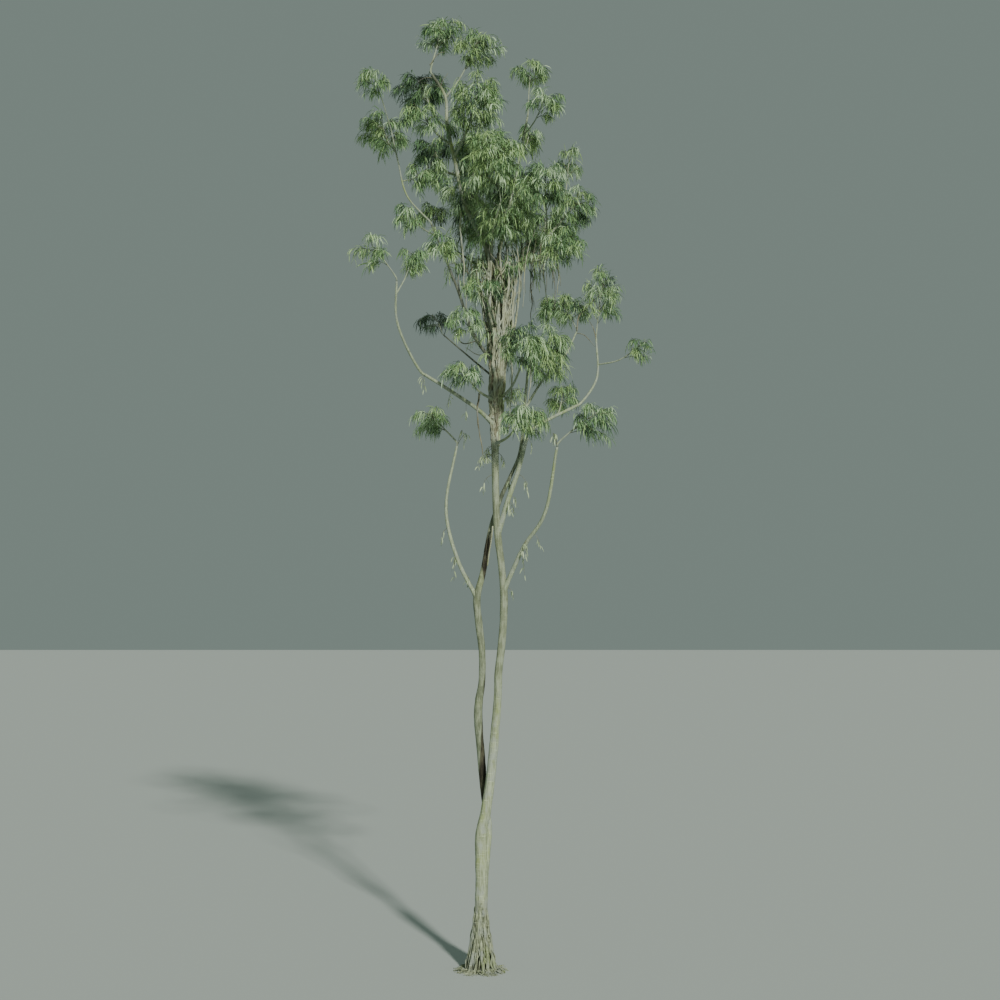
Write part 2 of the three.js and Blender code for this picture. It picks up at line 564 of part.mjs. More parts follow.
const spaces = {};
const stems = {};
for (const [name, [limb, height, middle, half]] of Object.entries(FOLIAGE)) {
  spaces[name] = { middle, half };
  stems[name] = foliageStem(limbs[limb], height, spaces[name]);
}
const obstacles = [
  ...pieces.flatMap((piece) => obstaclesOf(piece, 'trunk')),
  ...Object.entries(limbs).flatMap(([name, limb]) => obstaclesOf(limb, name)),
  ...Object.entries(stems).flatMap(([name, stem]) => obstaclesOf(stem, name)),
];
for (const [name, [limb]] of Object.entries(FOLIAGE)) {
  const solid = foliageSolid(name, stems[name], spaces[name], Object.values(spaces), obstacles);
  tree.add(meshOf(name, clearOf(solid, limb), LEAF));
}

export default tree;
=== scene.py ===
# An alii fig tree: pale bark with relief on its two stems, boughs and roots, and an open crown of fine
# twigs and drooping narrow leaves, grown by the rule of its solids. Metres, +Z up.
import math
from types import SimpleNamespace
from typing import NamedTuple

import bpy
import numpy as np
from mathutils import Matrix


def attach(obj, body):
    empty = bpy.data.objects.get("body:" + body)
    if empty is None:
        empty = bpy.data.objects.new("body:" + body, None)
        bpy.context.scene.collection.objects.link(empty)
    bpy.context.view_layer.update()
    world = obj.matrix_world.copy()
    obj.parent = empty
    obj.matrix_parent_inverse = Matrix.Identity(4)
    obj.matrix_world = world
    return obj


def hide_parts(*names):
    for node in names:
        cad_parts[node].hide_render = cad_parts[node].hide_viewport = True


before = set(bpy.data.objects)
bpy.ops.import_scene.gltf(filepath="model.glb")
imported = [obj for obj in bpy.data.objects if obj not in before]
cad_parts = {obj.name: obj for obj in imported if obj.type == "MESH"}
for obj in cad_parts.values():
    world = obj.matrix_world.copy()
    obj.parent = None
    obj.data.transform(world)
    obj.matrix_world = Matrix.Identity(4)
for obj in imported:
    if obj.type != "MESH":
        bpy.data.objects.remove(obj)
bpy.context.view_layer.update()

# Camera, as the photograph was taken
CAMERA_PLACE = (0.395, -29.6, 7.27)
CAMERA_PITCH = 4.9  # degrees upwards
CAMERA_LENS = 50
SENSOR = 36

# Studio
FLOOR_REACH = 300
FLOOR_COLOUR = (0.45, 0.5, 0.47, 1)
SKY_COLOUR = (0.47, 0.6, 0.54, 1)
SKY_STRENGTH = 0.39
SUN_STRENGTH = 4.1
SUN_COLOUR = (1, 0.97, 0.92)
SUN_SOFTNESS = 4  # width of the sun, in degrees
SUN_HEIGHT = 27  # degrees over the ground
SUN_TURN = 20  # degrees to the right of the camera's back

# Trunk: [height, x, y, radius] up its length
TRUNK = [
    [-0.08, 0, 0, 0.19], [0.5, 0, 0, 0.15], [1.4, 0.005, 0, 0.132], [2.05, 0.02, 0, 0.138],
    [2.75, 0.005, -0.01, 0.122], [3.25, 0.095, -0.03, 0.108], [3.8, 0.18, -0.02, 0.098],
    [4.45, 0.25, 0, 0.092], [5, 0.3, 0, 0.088], [5.55, 0.345, 0, 0.082], [6.1, 0.36, 0, 0.08],
    [6.6, 0.415, 0, 0.078], [7.15, 0.46, 0, 0.078], [7.8, 0.475, 0, 0.078], [8.5, 0.415, 0, 0.074],
    [9, 0.355, 0, 0.076], [9.5, 0.32, 0, 0.074], [10.2, 0.3, 0, 0.074], [10.85, 0.29, 0, 0.078],
    [11.3, 0.29, 0, 0.086], [12.3, 0.31, 0, 0.094], [13.3, 0.37, 0, 0.088], [14.3, 0.34, 0, 0.076],
    [15.25, 0.11, 0, 0.054], [16.25, -0.37, 0, 0.041], [17.15, -0.57, 0, 0.038],
    [18.05, -0.76, 0, 0.036], [18.7, -0.81, 0, 0.033], [19.18, -1.09, 0, 0.027],
]

# Foot of the second stem, fused to the back and right of the trunk below the fork
SECOND_FOOT = [
    [1.3, 0.05, 0.02, 0.06], [2, 0.09, 0.04, 0.072], [2.5, 0.13, 0.04, 0.074],
    [2.9, 0.15, 0.085, 0.074], [3.25, 0.09, 0.19, 0.073],
]

# Second stem: [height, x, y, radius] up its length
SECOND_STEM = [
    [3.25, 0.09, 0.19, 0.064], [3.33, 0.086, 0.205, 0.066], [3.7, 0.05, 0.26, 0.078],
    [4.3, 0, 0.29, 0.086], [4.7, -0.035, 0.265, 0.084], [5.2, -0.068, 0.2, 0.09],
    [5.55, -0.05, 0.17, 0.083], [5.95, 0.012, 0.14, 0.07], [6.6, 0.015, 0.11, 0.07],
    [7.15, -0.05, 0.1, 0.076], [7.7, -0.095, 0.1, 0.078], [8.3, 0.04, 0.16, 0.06],
    [8.8, 0.12, 0.22, 0.056], [9.3, 0.22, 0.26, 0.052], [9.85, 0.4, 0.27, 0.047],
    [10.3, 0.6, 0.27, 0.038], [10.8, 0.81, 0.27, 0.034], [11.4, 0.9, 0.27, 0.034],
    [12.05, 0.95, 0.27, 0.031], [12.65, 1, 0.26, 0.027],
]

# Boughs: the limb each leaves, the height where it leaves ("tip" for the tip), its radius at the
# foot and at the tip, and the points it runs through to its own tip
BOUGHS = {
    "low_left_bough": ["second_stem", 7.7, 0.045, 0.024,
                       [[-0.51, 0.3, 8.53], [-0.78, 0.55, 9.64], [-0.56, 0.9, 11.08]]],
    "low_right_bough": ["trunk", 7.85, 0.05, 0.026,
                        [[0.89, -0.3, 8.78], [1.32, -0.6, 9.44], [1.58, -0.95, 10.83]]],
    "twin_bough": ["trunk", 9.05, 0.056, 0.046,
                   [[0.55, -0.07, 9.75], [0.77, -0.07, 10.4], [0.96, -0.05, 11.15]]],
    "left_bough": ["trunk", 11.4, 0.046, 0.032,
                   [[-0.06, -0.1, 11.73], [-0.61, -0.4, 12.07], [-1.18, -0.7, 12.39]]],
    "left_bough_upper": ["left_bough", "tip", 0.029, 0.02,
                         [[-1.54, -1, 12.9], [-1.75, -1.25, 13.48], [-1.74, -1.4, 14.22]]],
    "right_bough": ["twin_bough", "tip", 0.034, 0.03, [[1.41, 0.25, 11.56], [2.08, 0.6, 11.94]]],
    "right_bough_upper": ["right_bough", "tip", 0.028, 0.019, [[2.54, 0.9, 12.59], [2.55, 1.1, 13.54]]],
    "centre_right_bough": ["trunk", 11.9, 0.034, 0.02, [[0.62, -0.3, 12.17], [0.84, -0.8, 12.55]]],
    "right_inner_bough": ["second_stem", 11.8, 0.028, 0.016,
                          [[1.37, 0.5, 12.54], [1.84, 0.8, 13.1], [2.11, 1.1, 13.68]]],
    "left_mid_bough": ["trunk", 12.7, 0.04, 0.019,
                       [[-0.1, -0.06, 13.25], [-0.58, -0.06, 14.53], [-1.1, 0.15, 15.86]]],
    "far_left_bough": ["left_mid_bough", "tip", 0.019, 0.015,
                       [[-1.63, 0.1, 16.48], [-1.84, 0.05, 17.26], [-1.98, 0.1, 17.9]]],
    "dark_low_bough": ["trunk", 12.4, 0.024, 0.013, [[-0.16, 0.45, 12.89], [-0.88, 1.2, 13.64]]],
    "left_upper_bough": ["trunk", 14.45, 0.03, 0.018, [[0, 0.28, 14.9], [-0.55, 0.45, 15.35]]],
    "right_upper_bough": ["trunk", 13.9, 0.044, 0.02,
                          [[0.94, 0.1, 14.99], [1.37, 0.2, 15.52], [1.9, 0.2, 16.15]]],
    "upper_right_bough": ["trunk", 14.7, 0.044, 0.02,
                          [[0.48, 0.2, 15.7], [0.83, 0.25, 17.4], [1, 0.2, 18.3]]],
    "back_bough": ["trunk", 15.1, 0.034, 0.018, [[0, 0.75, 15.8], [-0.15, 1.3, 16.5]]],
    "front_bough": ["trunk", 14.95, 0.03, 0.016, [[0.25, -0.65, 15.51], [0.4, -1.15, 15.95]]],
}

# The boughs in the crown's shade, given darker bark: painted shade
SHADED_BOUGHS = ("left_mid_bough", "dark_low_bough", "left_upper_bough", "back_bough")

# Foliage: the limb that carries each mass, the height where its stem leaves ("tip" for the tip),
# the middle of its space, the space's half width, half depth and half height, how many times as
# many branches it has as its size asks for, and its mixture of leaf shades
FOLIAGE = {
    "top_left": ["trunk", "tip", [-0.92, 0.3, 20.24], [0.61, 0.46, 0.385], 1.1, "plain"],
    "top_right": ["trunk", 18.65, [-0.1, 0, 19.8], [0.58, 0.45, 0.43], 1.1, "plain"],
    "far_left_top": ["far_left_bough", "tip", [-2.35, -0.6, 18.79], [0.37, 0.36, 0.4], 0.85, "plain"],
    "far_left": ["far_left_bough", 17.45, [-2.25, 0.7, 18.04], [0.55, 0.44, 0.68], 1, "shaded"],
    "left_dark_high": ["trunk", 17.9, [-1.41, 1.4, 19.39], [0.68, 0.5, 0.43], 1.1, "dark"],
    "left_high": ["trunk", 17.6, [-1.31, -0.8, 17.92], [0.49, 0.44, 0.4], 1, "plain"],
    "left_dark_mid": ["trunk", 16.9, [-1.15, 1.5, 17.93], [0.56, 0.5, 0.34], 1, "darkest"],
    "left_olive": ["far_left_bough", 16.8, [-1.19, 0.25, 16.97], [0.49, 0.42, 0.49], 1, "olive"],
    "left_low_outer": ["left_mid_bough", 15.6, [-1.57, -0.7, 15.77], [0.31, 0.33, 0.42], 1, "plain"],
    "left_low_back": ["left_mid_bough", 15.35, [-1.14, 1.1, 16.37], [0.38, 0.38, 0.35], 1, "plain"],
    "left_low_front": ["left_mid_bough", 14.8, [-0.83, -0.8, 15.08], [0.43, 0.36, 0.34], 1, "plain"],
    "centre_dark": ["left_upper_bough", "tip", [-0.24, 1.2, 16.16], [0.31, 0.42, 0.49], 1, "dark"],
    "centre_high": ["trunk", 17.3, [-0.06, -0.9, 18.23], [0.59, 0.48, 0.64], 1.5, "plain"],
    "centre_upper": ["trunk", 16.5, [0.07, 0.8, 17.75], [0.72, 0.52, 0.56], 1.6, "plain"],
    "centre_front": ["front_bough", "tip", [0.24, -1.5, 16.76], [0.72, 0.54, 0.7], 1.4, "plain"],
    "centre_back": ["back_bough", "tip", [-0.08, 1.8, 17.05], [0.6, 0.52, 0.6], 1.2, "shaded"],
    "core_back": ["upper_right_bough", 16.2, [0.72, 1.25, 16.95], [0.58, 0.52, 0.6], 1.3, "shaded"],
    "core_low": ["upper_right_bough", 15.4, [0.52, -0.6, 15.73], [0.72, 0.5, 0.5], 1.4, "plain"],
    "right_high": ["right_upper_bough", 15.6, [1.34, -1.2, 16.32], [0.57, 0.5, 0.56], 1.3, "plain"],
    "right_back": ["right_upper_bough", 15.4, [1.44, 1.3, 16.05], [0.58, 0.5, 0.56], 1.3, "plain"],
    "right_spike": ["right_upper_bough", 15.95, [1.96, 0.9, 17.49], [0.29, 0.31, 0.5], 1, "plain"],
    "right_outer": ["right_upper_bough", "tip", [2.08, 0.1, 16.26], [0.45, 0.46, 0.5], 1.1, "plain"],
    "right_low": ["right_upper_bough", 15, [1.74, -1, 14.98], [0.5, 0.42, 0.5], 1, "plain"],
    "crown_right_top": ["upper_right_bough", "tip", [1.08, 0.5, 19.42], [0.42, 0.39, 0.3], 1, "plain"],
    "crown_right": ["upper_right_bough", 17.9, [1.37, -0.6, 18.28], [0.44, 0.39, 0.4], 1, "plain"],
    "crown_right_low": ["upper_right_bough", 17.45, [1.07, 0.9, 18.04], [0.29, 0.31, 0.43], 1, "plain"],
    "left_tip": ["left_bough_upper", "tip", [-2.22, -1.9, 14.68], [0.4, 0.39, 0.45], 0.6, "plain"],
    "left_tip_inner": ["left_bough_upper", 13.95, [-1.41, -1.2, 14.7], [0.34, 0.31, 0.35], 1, "plain"],
    "dark_low": ["dark_low_bough", "tip", [-1.08, 1.7, 13.99], [0.43, 0.41, 0.32], 1, "darkest"],
    "left_inner": ["left_mid_bough", 13.2, [-0.34, -1, 13.43], [0.38, 0.35, 0.43], 1, "plain"],
    "left_lower": ["trunk", 11.95, [-0.42, -0.9, 12.34], [0.44, 0.37, 0.36], 1, "shaded"],
    "front_inner": ["trunk", 13.5, [0.06, -1.3, 14.06], [0.46, 0.38, 0.32], 1, "plain"],
    "right_inner": ["centre_right_bough", "tip", [0.86, -1.5, 12.9], [0.49, 0.42, 0.48], 1.4, "plain"],
    "right_middle": ["second_stem", "tip", [1.48, -0.3, 12.93], [0.53, 0.45, 0.68], 1.3, "plain"],
    "right_hanging": ["right_bough", 11.7, [1.79, 0.9, 12.08], [0.38, 0.37, 0.47], 1, "plain"],
    "low_centre": ["trunk", 11, [0.88, -1, 11.3], [0.51, 0.42, 0.43], 1, "plain"],
    "right_shelf": ["right_inner_bough", "tip", [1.8, 1.5, 14.23], [0.64, 0.49, 0.49], 1, "plain"],
    "right_top": ["right_bough_upper", "tip", [2.71, 1.2, 14.5], [0.46, 0.45, 0.74], 0.9, "plain"],
    "far_right": ["right_bough_upper", 12.9, [3.48, 0.6, 13.12], [0.31, 0.31, 0.35], 0.52, "plain"],
    "low_left": ["low_left_bough", "tip", [-1.16, 1.1, 11.62], [0.44, 0.4, 0.45], 1, "olive"],
    "low_right": ["low_right_bough", "tip", [2.39, -1.2, 11.29], [0.48, 0.4, 0.56], 1, "plain"],
}

# Roots: as many as the solids have, in the same places, and finer ones between them
PROP_ROOTS = 12
PROP_ROOT_TOP = 1.5
PROP_ROOT_SPREAD = 0.285
PROP_ROOT_RADIUS = 0.036
FINE_PROP_ROOTS = 62
FINE_PROP_THICKNESS = (0.3, 0.58)  # shares of the solid ones' radius
SURFACE_ROOT_REACH = 0.6
SURFACE_ROOTLETS = 74
ROOTLET_START = (0.16, 0.3)  # distance from the middle
ROOTLET_REACH = (0.36, SURFACE_ROOT_REACH)
ROOTLET_STRAY = 0.22  # radians
ROOTLET_LIFT = (0.012, 0.045)  # height of its middle over the ground
ROOTLET_RADIUS = (0.011, 0.022)
AERIAL_ROOTS = 11
AERIAL_ROOT_FOOT = 10.95
AERIAL_ROOT_FOOT_SPAN = 1.3
AERIAL_ROOT_TOP = 15.5
AERIAL_ROOT_TOP_SPAN = 0.8
AERIAL_ROOT_MIDDLE = 0.43
AERIAL_ROOT_RADIUS = 0.036
AERIAL_ROOT_FAN = 0.34
FINE_AERIAL_ROOTS = 180
TANGLE_MIDDLE = 0.33  # middle of the finer ones' tops, to the right of the origin
TANGLE_FOOT_SPAN = 2.7  # height over which their feet are spread, upwards
TANGLE_TOP_SPAN = 1  # height over which their tops are spread, downwards
TANGLE_LENGTH = (1.2, 3)
TANGLE_POINTS = 6
TANGLE_STRAY = 0.3  # radians that one winds at most from one point to the next
TANGLE_FAN = (0.15, 1.05)  # shares of the solid ones' fan
TANGLE_THICKNESS = (0.26, 0.34, 0.42, 0.75)  # shares of the solid ones' radius
TANGLE_OPEN = 0.73  # share of the way up at which they are spread out
TANGLE_WIDEST = 1.1  # they go on spreading up to so many times that
TRUNK_LEANS_FROM = 14  # height from which the trunk leans out of the middle of the roots
BROWN_EVERY = 6  # one in so many of the finer ones is brown
PAINTED_SHADE_SIDE = -0.8  # left of this share of the bundle's half width, every other one is brown too: painted shade on the bundle's left side, away from the sun

# Kinds of root: the sides, ring step, flutes and lumps of its bark, how far its line wanders and
# over what length, and the first seeds of its wandering and of its bark
ROOT_KINDS = {
    "prop": [(12, 0.02, 0.08, 0.2), (0.016, 0.17), (0, 40)],
    "fine_prop": [(8, 0.02, 0.06, 0.28), (0.034, 0.14), (60, 60)],
    "surface": [(7, 0.015, 0.04, 0.22), (0.012, 0.07), (90, 90)],
    "aerial": [(9, 0.03, 0.08, 0.24), (0.055, 0.36), (0, 140)],
    "tangled": [(6, 0.026, 0.05, 0.3), (0.045, 0.17), (160, 160)],
    "hanging": [(6, 0.03, 0.05, 0.2), (0.025, 0.3), (230, 230)],
    "thread": [(4, 0.04, 0, 0.2), (0.03, 0.2), (260, 260)],
}

# Thin roots that hang free in the crown: top, middle, bottom and radius
PALE_HANGING_ROOTS = [
    [(-0.45, -0.3, 16), (-0.4, -0.32, 15), (-0.33, -0.3, 13.9), 0.02],
    [(1.68, 0.1, 15.3), (1.38, 0.1, 15.05), (1.42, 0.05, 14.1), 0.017],
    [(1.6, -0.6, 15.1), (1.62, -0.62, 14.7), (1.61, -0.6, 14.15), 0.015],
    [(1.02, -1.1, 12.75), (1.02, -1.1, 12.3), (0.98, -1.05, 11.75), 0.013],
    [(0.55, -0.3, 15.6), (0.8, -0.34, 15.1), (0.78, -0.3, 14.2), 0.017],
    [(1.15, -0.4, 15.6), (0.95, -0.4, 15), (0.88, -0.36, 13.9), 0.013],
    [(0.62, -0.2, 12.9), (0.66, -0.2, 12.3), (0.56, -0.12, 11.2), 0.02],
    [(0.24, 0, 9.25), (0.2, -0.03, 8.85), (0.13, 0.02, 8.4), 0.018],
]
DARK_HANGING_ROOTS = [
    [(-0.05, -0.12, 12.1), (-0.06, -0.14, 11.4), (0.03, -0.1, 10.75), 0.021],
    [(0.86, 0.4, 15.7), (0.83, 0.42, 15), (0.84, 0.4, 14.3), 0.014],
    [(1.1, 0.5, 15.5), (1.14, 0.5, 15), (1.12, 0.5, 14.5), 0.012],
    [(1.28, -0.2, 15.4), (1.26, -0.2, 15), (1.27, -0.2, 14.55), 0.01],
    [(1.1, 0.9, 14.6), (1.1, 0.9, 14.2), (1.11, 0.9, 13.7), 0.012],
    [(-0.44, 0.6, 16), (-0.48, 0.6, 15.4), (-0.44, 0.6, 14.9), 0.013],
    [(-0.28, 0.3, 15.1), (-0.32, 0.3, 14.8), (-0.22, 0.32, 14.4), 0.013],
    [(0.2, 0.5, 16.1), (0.15, 0.55, 15.3), (0.12, 0.55, 14.4), 0.013],
    [(0.5, 0.3, 15.7), (0.52, 0.3, 15), (0.47, 0.3, 14.3), 0.014],
]

# More of them, the thinnest, anywhere under the middle of the crown
THREAD_ROOTS = 30
THREAD_TOPS = [(0.2, 1.7), (-0.4, 0.9), (15.1, 15.6)]  # between what x, y and z they start
THREAD_LENGTH = (0.5, 1.4)
THREAD_STRAY = 0.05
THREAD_RADIUS = (0.005, 0.009)

# Bare branches too thin to be boughs: start, bend, end and radius
BARE_BRANCHES = [
    [(0.3, 0.05, 14.3), (-0.15, 0.1, 14.65), (-0.75, 0.15, 15.15), 0.017],
    [(-0.45, -0.06, 14.2), (-0.5, 0, 14.75), (-0.42, 0.1, 15.2), 0.01],
    [(-0.3, 0.1, 14.8), (-0.55, 0.1, 15.3), (-0.5, 0.1, 15.7), 0.009],
    [(-0.08, -0.06, 13.25), (-0.42, -0.1, 13.2), (-0.6, -0.1, 13.75), 0.013],
    [(2.55, 1.1, 13.45), (2.5, 1.1, 13.75), (2.38, 1.1, 13.95), 0.012],
    [(2.1, 1.1, 13.66), (2.3, 1.1, 13.6), (2.52, 1.1, 13.35), 0.01],
    [(2.12, 1.1, 13.7), (2.2, 1.15, 14.1), (2.7, 1.2, 14.6), 0.016],
    [(-0.78, 0, 18.6), (-0.9, 0.1, 19), (-0.76, 0.2, 19.3), 0.008],
    [(-1.05, 0, 19.1), (-1.3, 0.1, 19.15), (-1.42, 0.1, 19.05), 0.008],
    [(-1.15, 0, 19.4), (-0.95, 0, 19.65), (-0.8, 0.1, 19.75), 0.01],
    [(0.3, 0, 13.1), (0, 0.1, 12.95), (-0.35, 0.2, 13.15), 0.011],
]

# Wisps of withered leaves: the limb they hang by, where they leave it for the air, how many,
# how far round they spread, and how far they hang down
WISPS = [
    ["trunk", (0.1, -0.12, 10.95), 3, 0.04, 0.35], ["trunk", (0.03, -0.12, 10.78), 5, 0.05, 0.35],
    ["trunk", (0.46, -0.12, 10.85), 2, 0.04, 0.35], ["trunk", (0, -0.1, 10.35), 1, 0.02, 0.45],
    ["twin_bough", (0.95, -0.15, 10.3), 2, 0.03, 0.4], ["twin_bough", (0.75, -0.15, 9.85), 1, 0.02, 0.4],
    ["twin_bough", (0.62, -0.14, 9.75), 3, 0.04, 0.5], ["twin_bough", (1.1, -0.1, 11.1), 1, 0.03, 0.3],
    ["low_right_bough", (0.93, -0.35, 8.95), 4, 0.05, 0.45],
    ["low_right_bough", (0.91, -0.35, 8.6), 1, 0.02, 0.5],
    ["low_right_bough", (1.22, -0.5, 8.95), 1, 0.02, 0.4], ["trunk", (0.66, -0.1, 7.95), 1, 0.02, 0.3],
    ["low_left_bough", (-0.6, 0.3, 8.65), 3, 0.03, 0.6],
    ["low_left_bough", (-0.27, 0.2, 8.2), 2, 0.03, 0.2],
    ["low_left_bough", (-0.86, 0.5, 9.2), 1, 0.02, 0.25],
    ["low_left_bough", (-0.36, 0.8, 11.45), 3, 0.08, 0.35],
    ["low_right_bough", (1.5, -1, 11.25), 3, 0.06, 0.4], ["left_bough", (-1.3, -0.7, 12.45), 2, 0.04, 0.6],
    ["left_bough", (-0.66, -0.4, 12.05), 1, 0.03, 0.45], ["left_bough", (-0.33, -0.3, 11.85), 1, 0.03, 0.3],
    ["trunk", (0.68, -0.35, 12.05), 4, 0.07, 0.35], ["second_stem", (0.6, 0.15, 10.3), 2, 0.04, 0.45],
]
STRING_RADIUS = 0.005
STRING_MESH = (4, 8)  # sides and rings
STRING_FALL = (0.4, 1)  # shares of how far down a wisp may hang
LEAVES_PER_WISP = 6
WITHERED_FROM = 0.4  # share of its length from which a string has leaves
WITHERED_LENGTH = (0.1, 0.19)
WITHERED_WIDTH_SHARE = 0.16
WITHERED_DROOP = (1, 5)
WITHERED_ROLL = 1.5  # radians to either side

# Leafy twigs straight from limbs: the limb, from what height to what height, and how many
LIMB_SPRAYS = [
    ["trunk", 12.6, 15.2, 26], ["trunk", 15.8, 17.6, 50], ["trunk", 17.6, 19, 14],
    ["second_stem", 11.6, 12.6, 10], ["upper_right_bough", 15.1, 17, 40],
    ["upper_right_bough", 17, 18.2, 4], ["right_upper_bough", 14.7, 16.1, 34],
    ["left_mid_bough", 14.2, 15.8, 8], ["right_inner_bough", 12.6, 13.6, 8],
    ["front_bough", 15.2, 15.9, 8], ["back_bough", 15.4, 16.4, 10], ["left_upper_bough", 14.8, 15.3, 8],
]
SPRAY_RISE = (0.1, 0.8)  # how steeply one starts out
SPRAY_FALL = 0.5
SPRAY_BEND_AT = 0.6
SPRAY_LENGTH = (0.2, 0.55)
SPRAY_RADIUS = (0.003, 0.005)
SPRAY_MESH = (4, 6)
TWIGS_PER_SPRAY = 3
SPRAY_TWIG_LENGTH = (0.06, 0.18)
SPRAY_TWIG_FALL = (0.3, 1.2)
SPRAY_TWIG_RADIUS = 0.0028
SPRAY_TWIG_MESH = (3, 4)

# Branches and twigs
STEM_RADIUS = 0.022  # what the radii of a mass's stem are measured by
STEM_FOOT = 1.5  # largest radius of its foot in shares of that
STEM_FOOT_ON_LIMB = 0.85  # and in shares of the radius of the limb that carries it
STEM_TIP = 0.45  # radius of its tip in shares of STEM_RADIUS, or of its foot's if that is less
STEM_HEIGHT = 0.4  # height of a stem's tip over the middle of its space, in half heights
STEM_RISE = 0.06  # how far its middle lies over the straight line, in shares of its length
STEM_SAG = 0.1  # how far under it, where it leaves its limb from the side
LEAFY_SHARE = 0.7  # largest share of a mass's stem that carries branches
BRANCH_SECTION = 0.02  # section of foliage space for each branch of a mass, in square metres
FIRST_BRANCH = 0.98  # share of the stem's length at which its highest branch leaves it
HIGHEST = 0.85  # height of the highest branch's end in half heights of its space
LOWEST = -0.4  # height of the lowest one's
DENSE_LOWEST = -0.8  # the same in masses with more branches
HEIGHT_STRAY = (0.7, 1.05)  # these heights are multiplied by a number between these
HEIGHT_LIMIT = 0.95  # and are at most this, up or down
BRANCH_REACH = (0.45, 1.02)  # shares of the space's width
BRANCH_ARCH = (0.15, 0.45)  # rise of its bend in shares of its length
BRANCH_RADIUS = (0.005, 0.009)
BRANCH_MESH = (5, 8)
FEWEST_BRANCHES = 5
TWIGS_PER_BRANCH = 7
TWIGS_FROM = 0.4  # share of its length from which a branch has twigs
TWIG_SHIFT = 0.12  # share of its branch's length that a twig may be nearer its foot
TWIG_SIDE = 1.1  # how far a twig points aside at most, where its branch's way counts TWIG_AHEAD
TWIG_AHEAD = 0.8
TWIG_RISE = 0.2
TWIG_STRAY = 0.2  # and how far it strays from all that, as a rule
TWIG_LENGTH = (0.08, 0.27)
TWIG_FALL = (0, 1)
TWIG_RADIUS = 0.003
TWIG_MESH = (3, 3)
BEND_AT = 0.55  # share of the length at which a branch or twig bends
TWIG_TAPER = 0.45  # radius at the end in shares of the radius at the start
TURN_STRAY = 0.4  # radians that a branch or leaf turns away from its golden angle at most
GOLDEN_ANGLE = math.pi * (3 - math.sqrt(5))

# Leaves
LEAVES_PER_TWIG = 10
LEAVES_PER_BRANCH = 16
TWIG_LEAVES_FROM = 0.12  # share of its length from which a twig has leaves
BRANCH_LEAVES_FROM = 0.35
LEAF_SHIFT = 0.05  # share of its twig's length that a leaf may be out of its even place
LEAF_AHEAD = 0.8  # how much its twig's way counts in its aim, where outwards counts 1
LEAF_RISE = 0.15
LEAVES_ABOVE = 0.75  # how much upwards and downwards count in outwards, where aside counts 1
LEAF_ROLL = 0.5  # radians, as a rule
LEAF_LENGTH = (0.16, 0.32)
LEAF_WIDTH_SHARE = (0.056, 0.08)
LEAF_DROOP = (0.5, 4.4)  # how far its line is drawn down against its aim
LEAF_FOLD = 0.45  # height of its edges over its midrib, in half widths
LEAF_REACH = 1.3  # share of a space's radius that leaf tips may reach at its side and below it
TOP_REACH = 1.08  # the same above its middle
LEAF_SHARES = (0, 0.28, 0.66, 1)  # places along a leaf where it has corners
LEAF_HALF_WIDTHS = (0, 0.46, 0.4, 0)
LEAF_QUADS = np.array([[1, 4, 5, 2], [2, 5, 6, 3]])
LEAF_TRIANGLES = np.array([[0, 1, 2], [0, 2, 3], [4, 7, 5], [5, 7, 6]])
LEAF_MIDDLE, LEAF_TIP = 5, 7  # the corners that are kept off limbs
CLEARANCE = 0.006  # free space round limbs that leaves keep

# Leaf shades, each a pair of colours, and what share of sprays has each of them in each mixture
LEAF_SHADES = {
    "fresh": [(0.335, 0.5, 0.26), (0.45, 0.61, 0.385)],
    "bright": [(0.25, 0.4, 0.142), (0.325, 0.47, 0.2)],
    "middle": [(0.155, 0.285, 0.108), (0.2, 0.345, 0.152)],
    "deep": [(0.077, 0.165, 0.067), (0.11, 0.215, 0.095)],
    "dark": [(0.027, 0.06, 0.033), (0.043, 0.09, 0.047)],
}
# In part painted shade: the shaded, dark and darkest mixtures give darker leaves to masses at the back and
# in the crown's shade
MIXTURES = {
    "plain": (0.22, 0.33, 0.24, 0.14, 0.07),
    "olive": (0.3, 0.34, 0.22, 0.14, 0),
    "shaded": (0.07, 0.21, 0.28, 0.29, 0.15),
    "dark": (0, 0.05, 0.15, 0.35, 0.45),
    "darkest": (0, 0.02, 0.06, 0.26, 0.66),
}
STRAY_LEAVES = 0.42  # share of leaves that don't have their spray's shade
WITHERED_COLOURS = [(0.28, 0.37, 0.2), (0.42, 0.52, 0.32)]

# Surface of limbs: sides, step between rings, and depth of the flutes and lumps in shares of the
# radius
TRUNK_RELIEF = (60, 0.026, 0.06, 0.05)
SECOND_FOOT_RELIEF = (36, 0.03, 0.06, 0.05)
SECOND_RELIEF = (40, 0.03, 0.06, 0.06)
BOUGH_RELIEF = (20, 0.032, 0.05, 0.07)
FOLIAGE_STEM_RELIEF = (8, 0.05, 0.04, 0.05)

# Its noises: cells round the limb and along each metre of it, and where in the noise they start
FLUTE_NOISE = (2.1, 0.9, 0)
LUMP_NOISE = (1.3, 4.5, 40)
SMALL_LUMP_NOISE = (3.2, 11, 80)
RING_NOISE = (3, 46, 120)
RING_DEPTH = 0.012

# Collars where limbs grow out, and the lines that limbs follow
COLLAR_SHARE = 0.78  # share of its carrier's radius that a limb has where it grows out
LARGEST_FLARE = 0.55
FLARE_LENGTH = 2.2  # radii over which the collar fades
CURVE_STEPS = 40  # points on each span of a curve, before they are evenly spaced
LIMB_STEP = 0.02  # distance between the points of a limb
STRAIGHT_START = 3  # radii for which a limb runs straight on from another's tip

UP = np.array([0.0, 0.0, 1.0])
ASIDE = np.array([0.31, 0.9, 0.3])  # a direction that no limb starts in
TWIG_ASIDE = np.array([0.42, 0.83, 0.37])  # and one that hardly any twig has
NOISE_KEYS = np.array([374761393, 668265263, 2147483647])
NOISE_SEED_KEY = 974634777
NOISE_MIXER = 1274126177
WHOLE_NUMBER = 0xFFFFFFFF


# Numbers

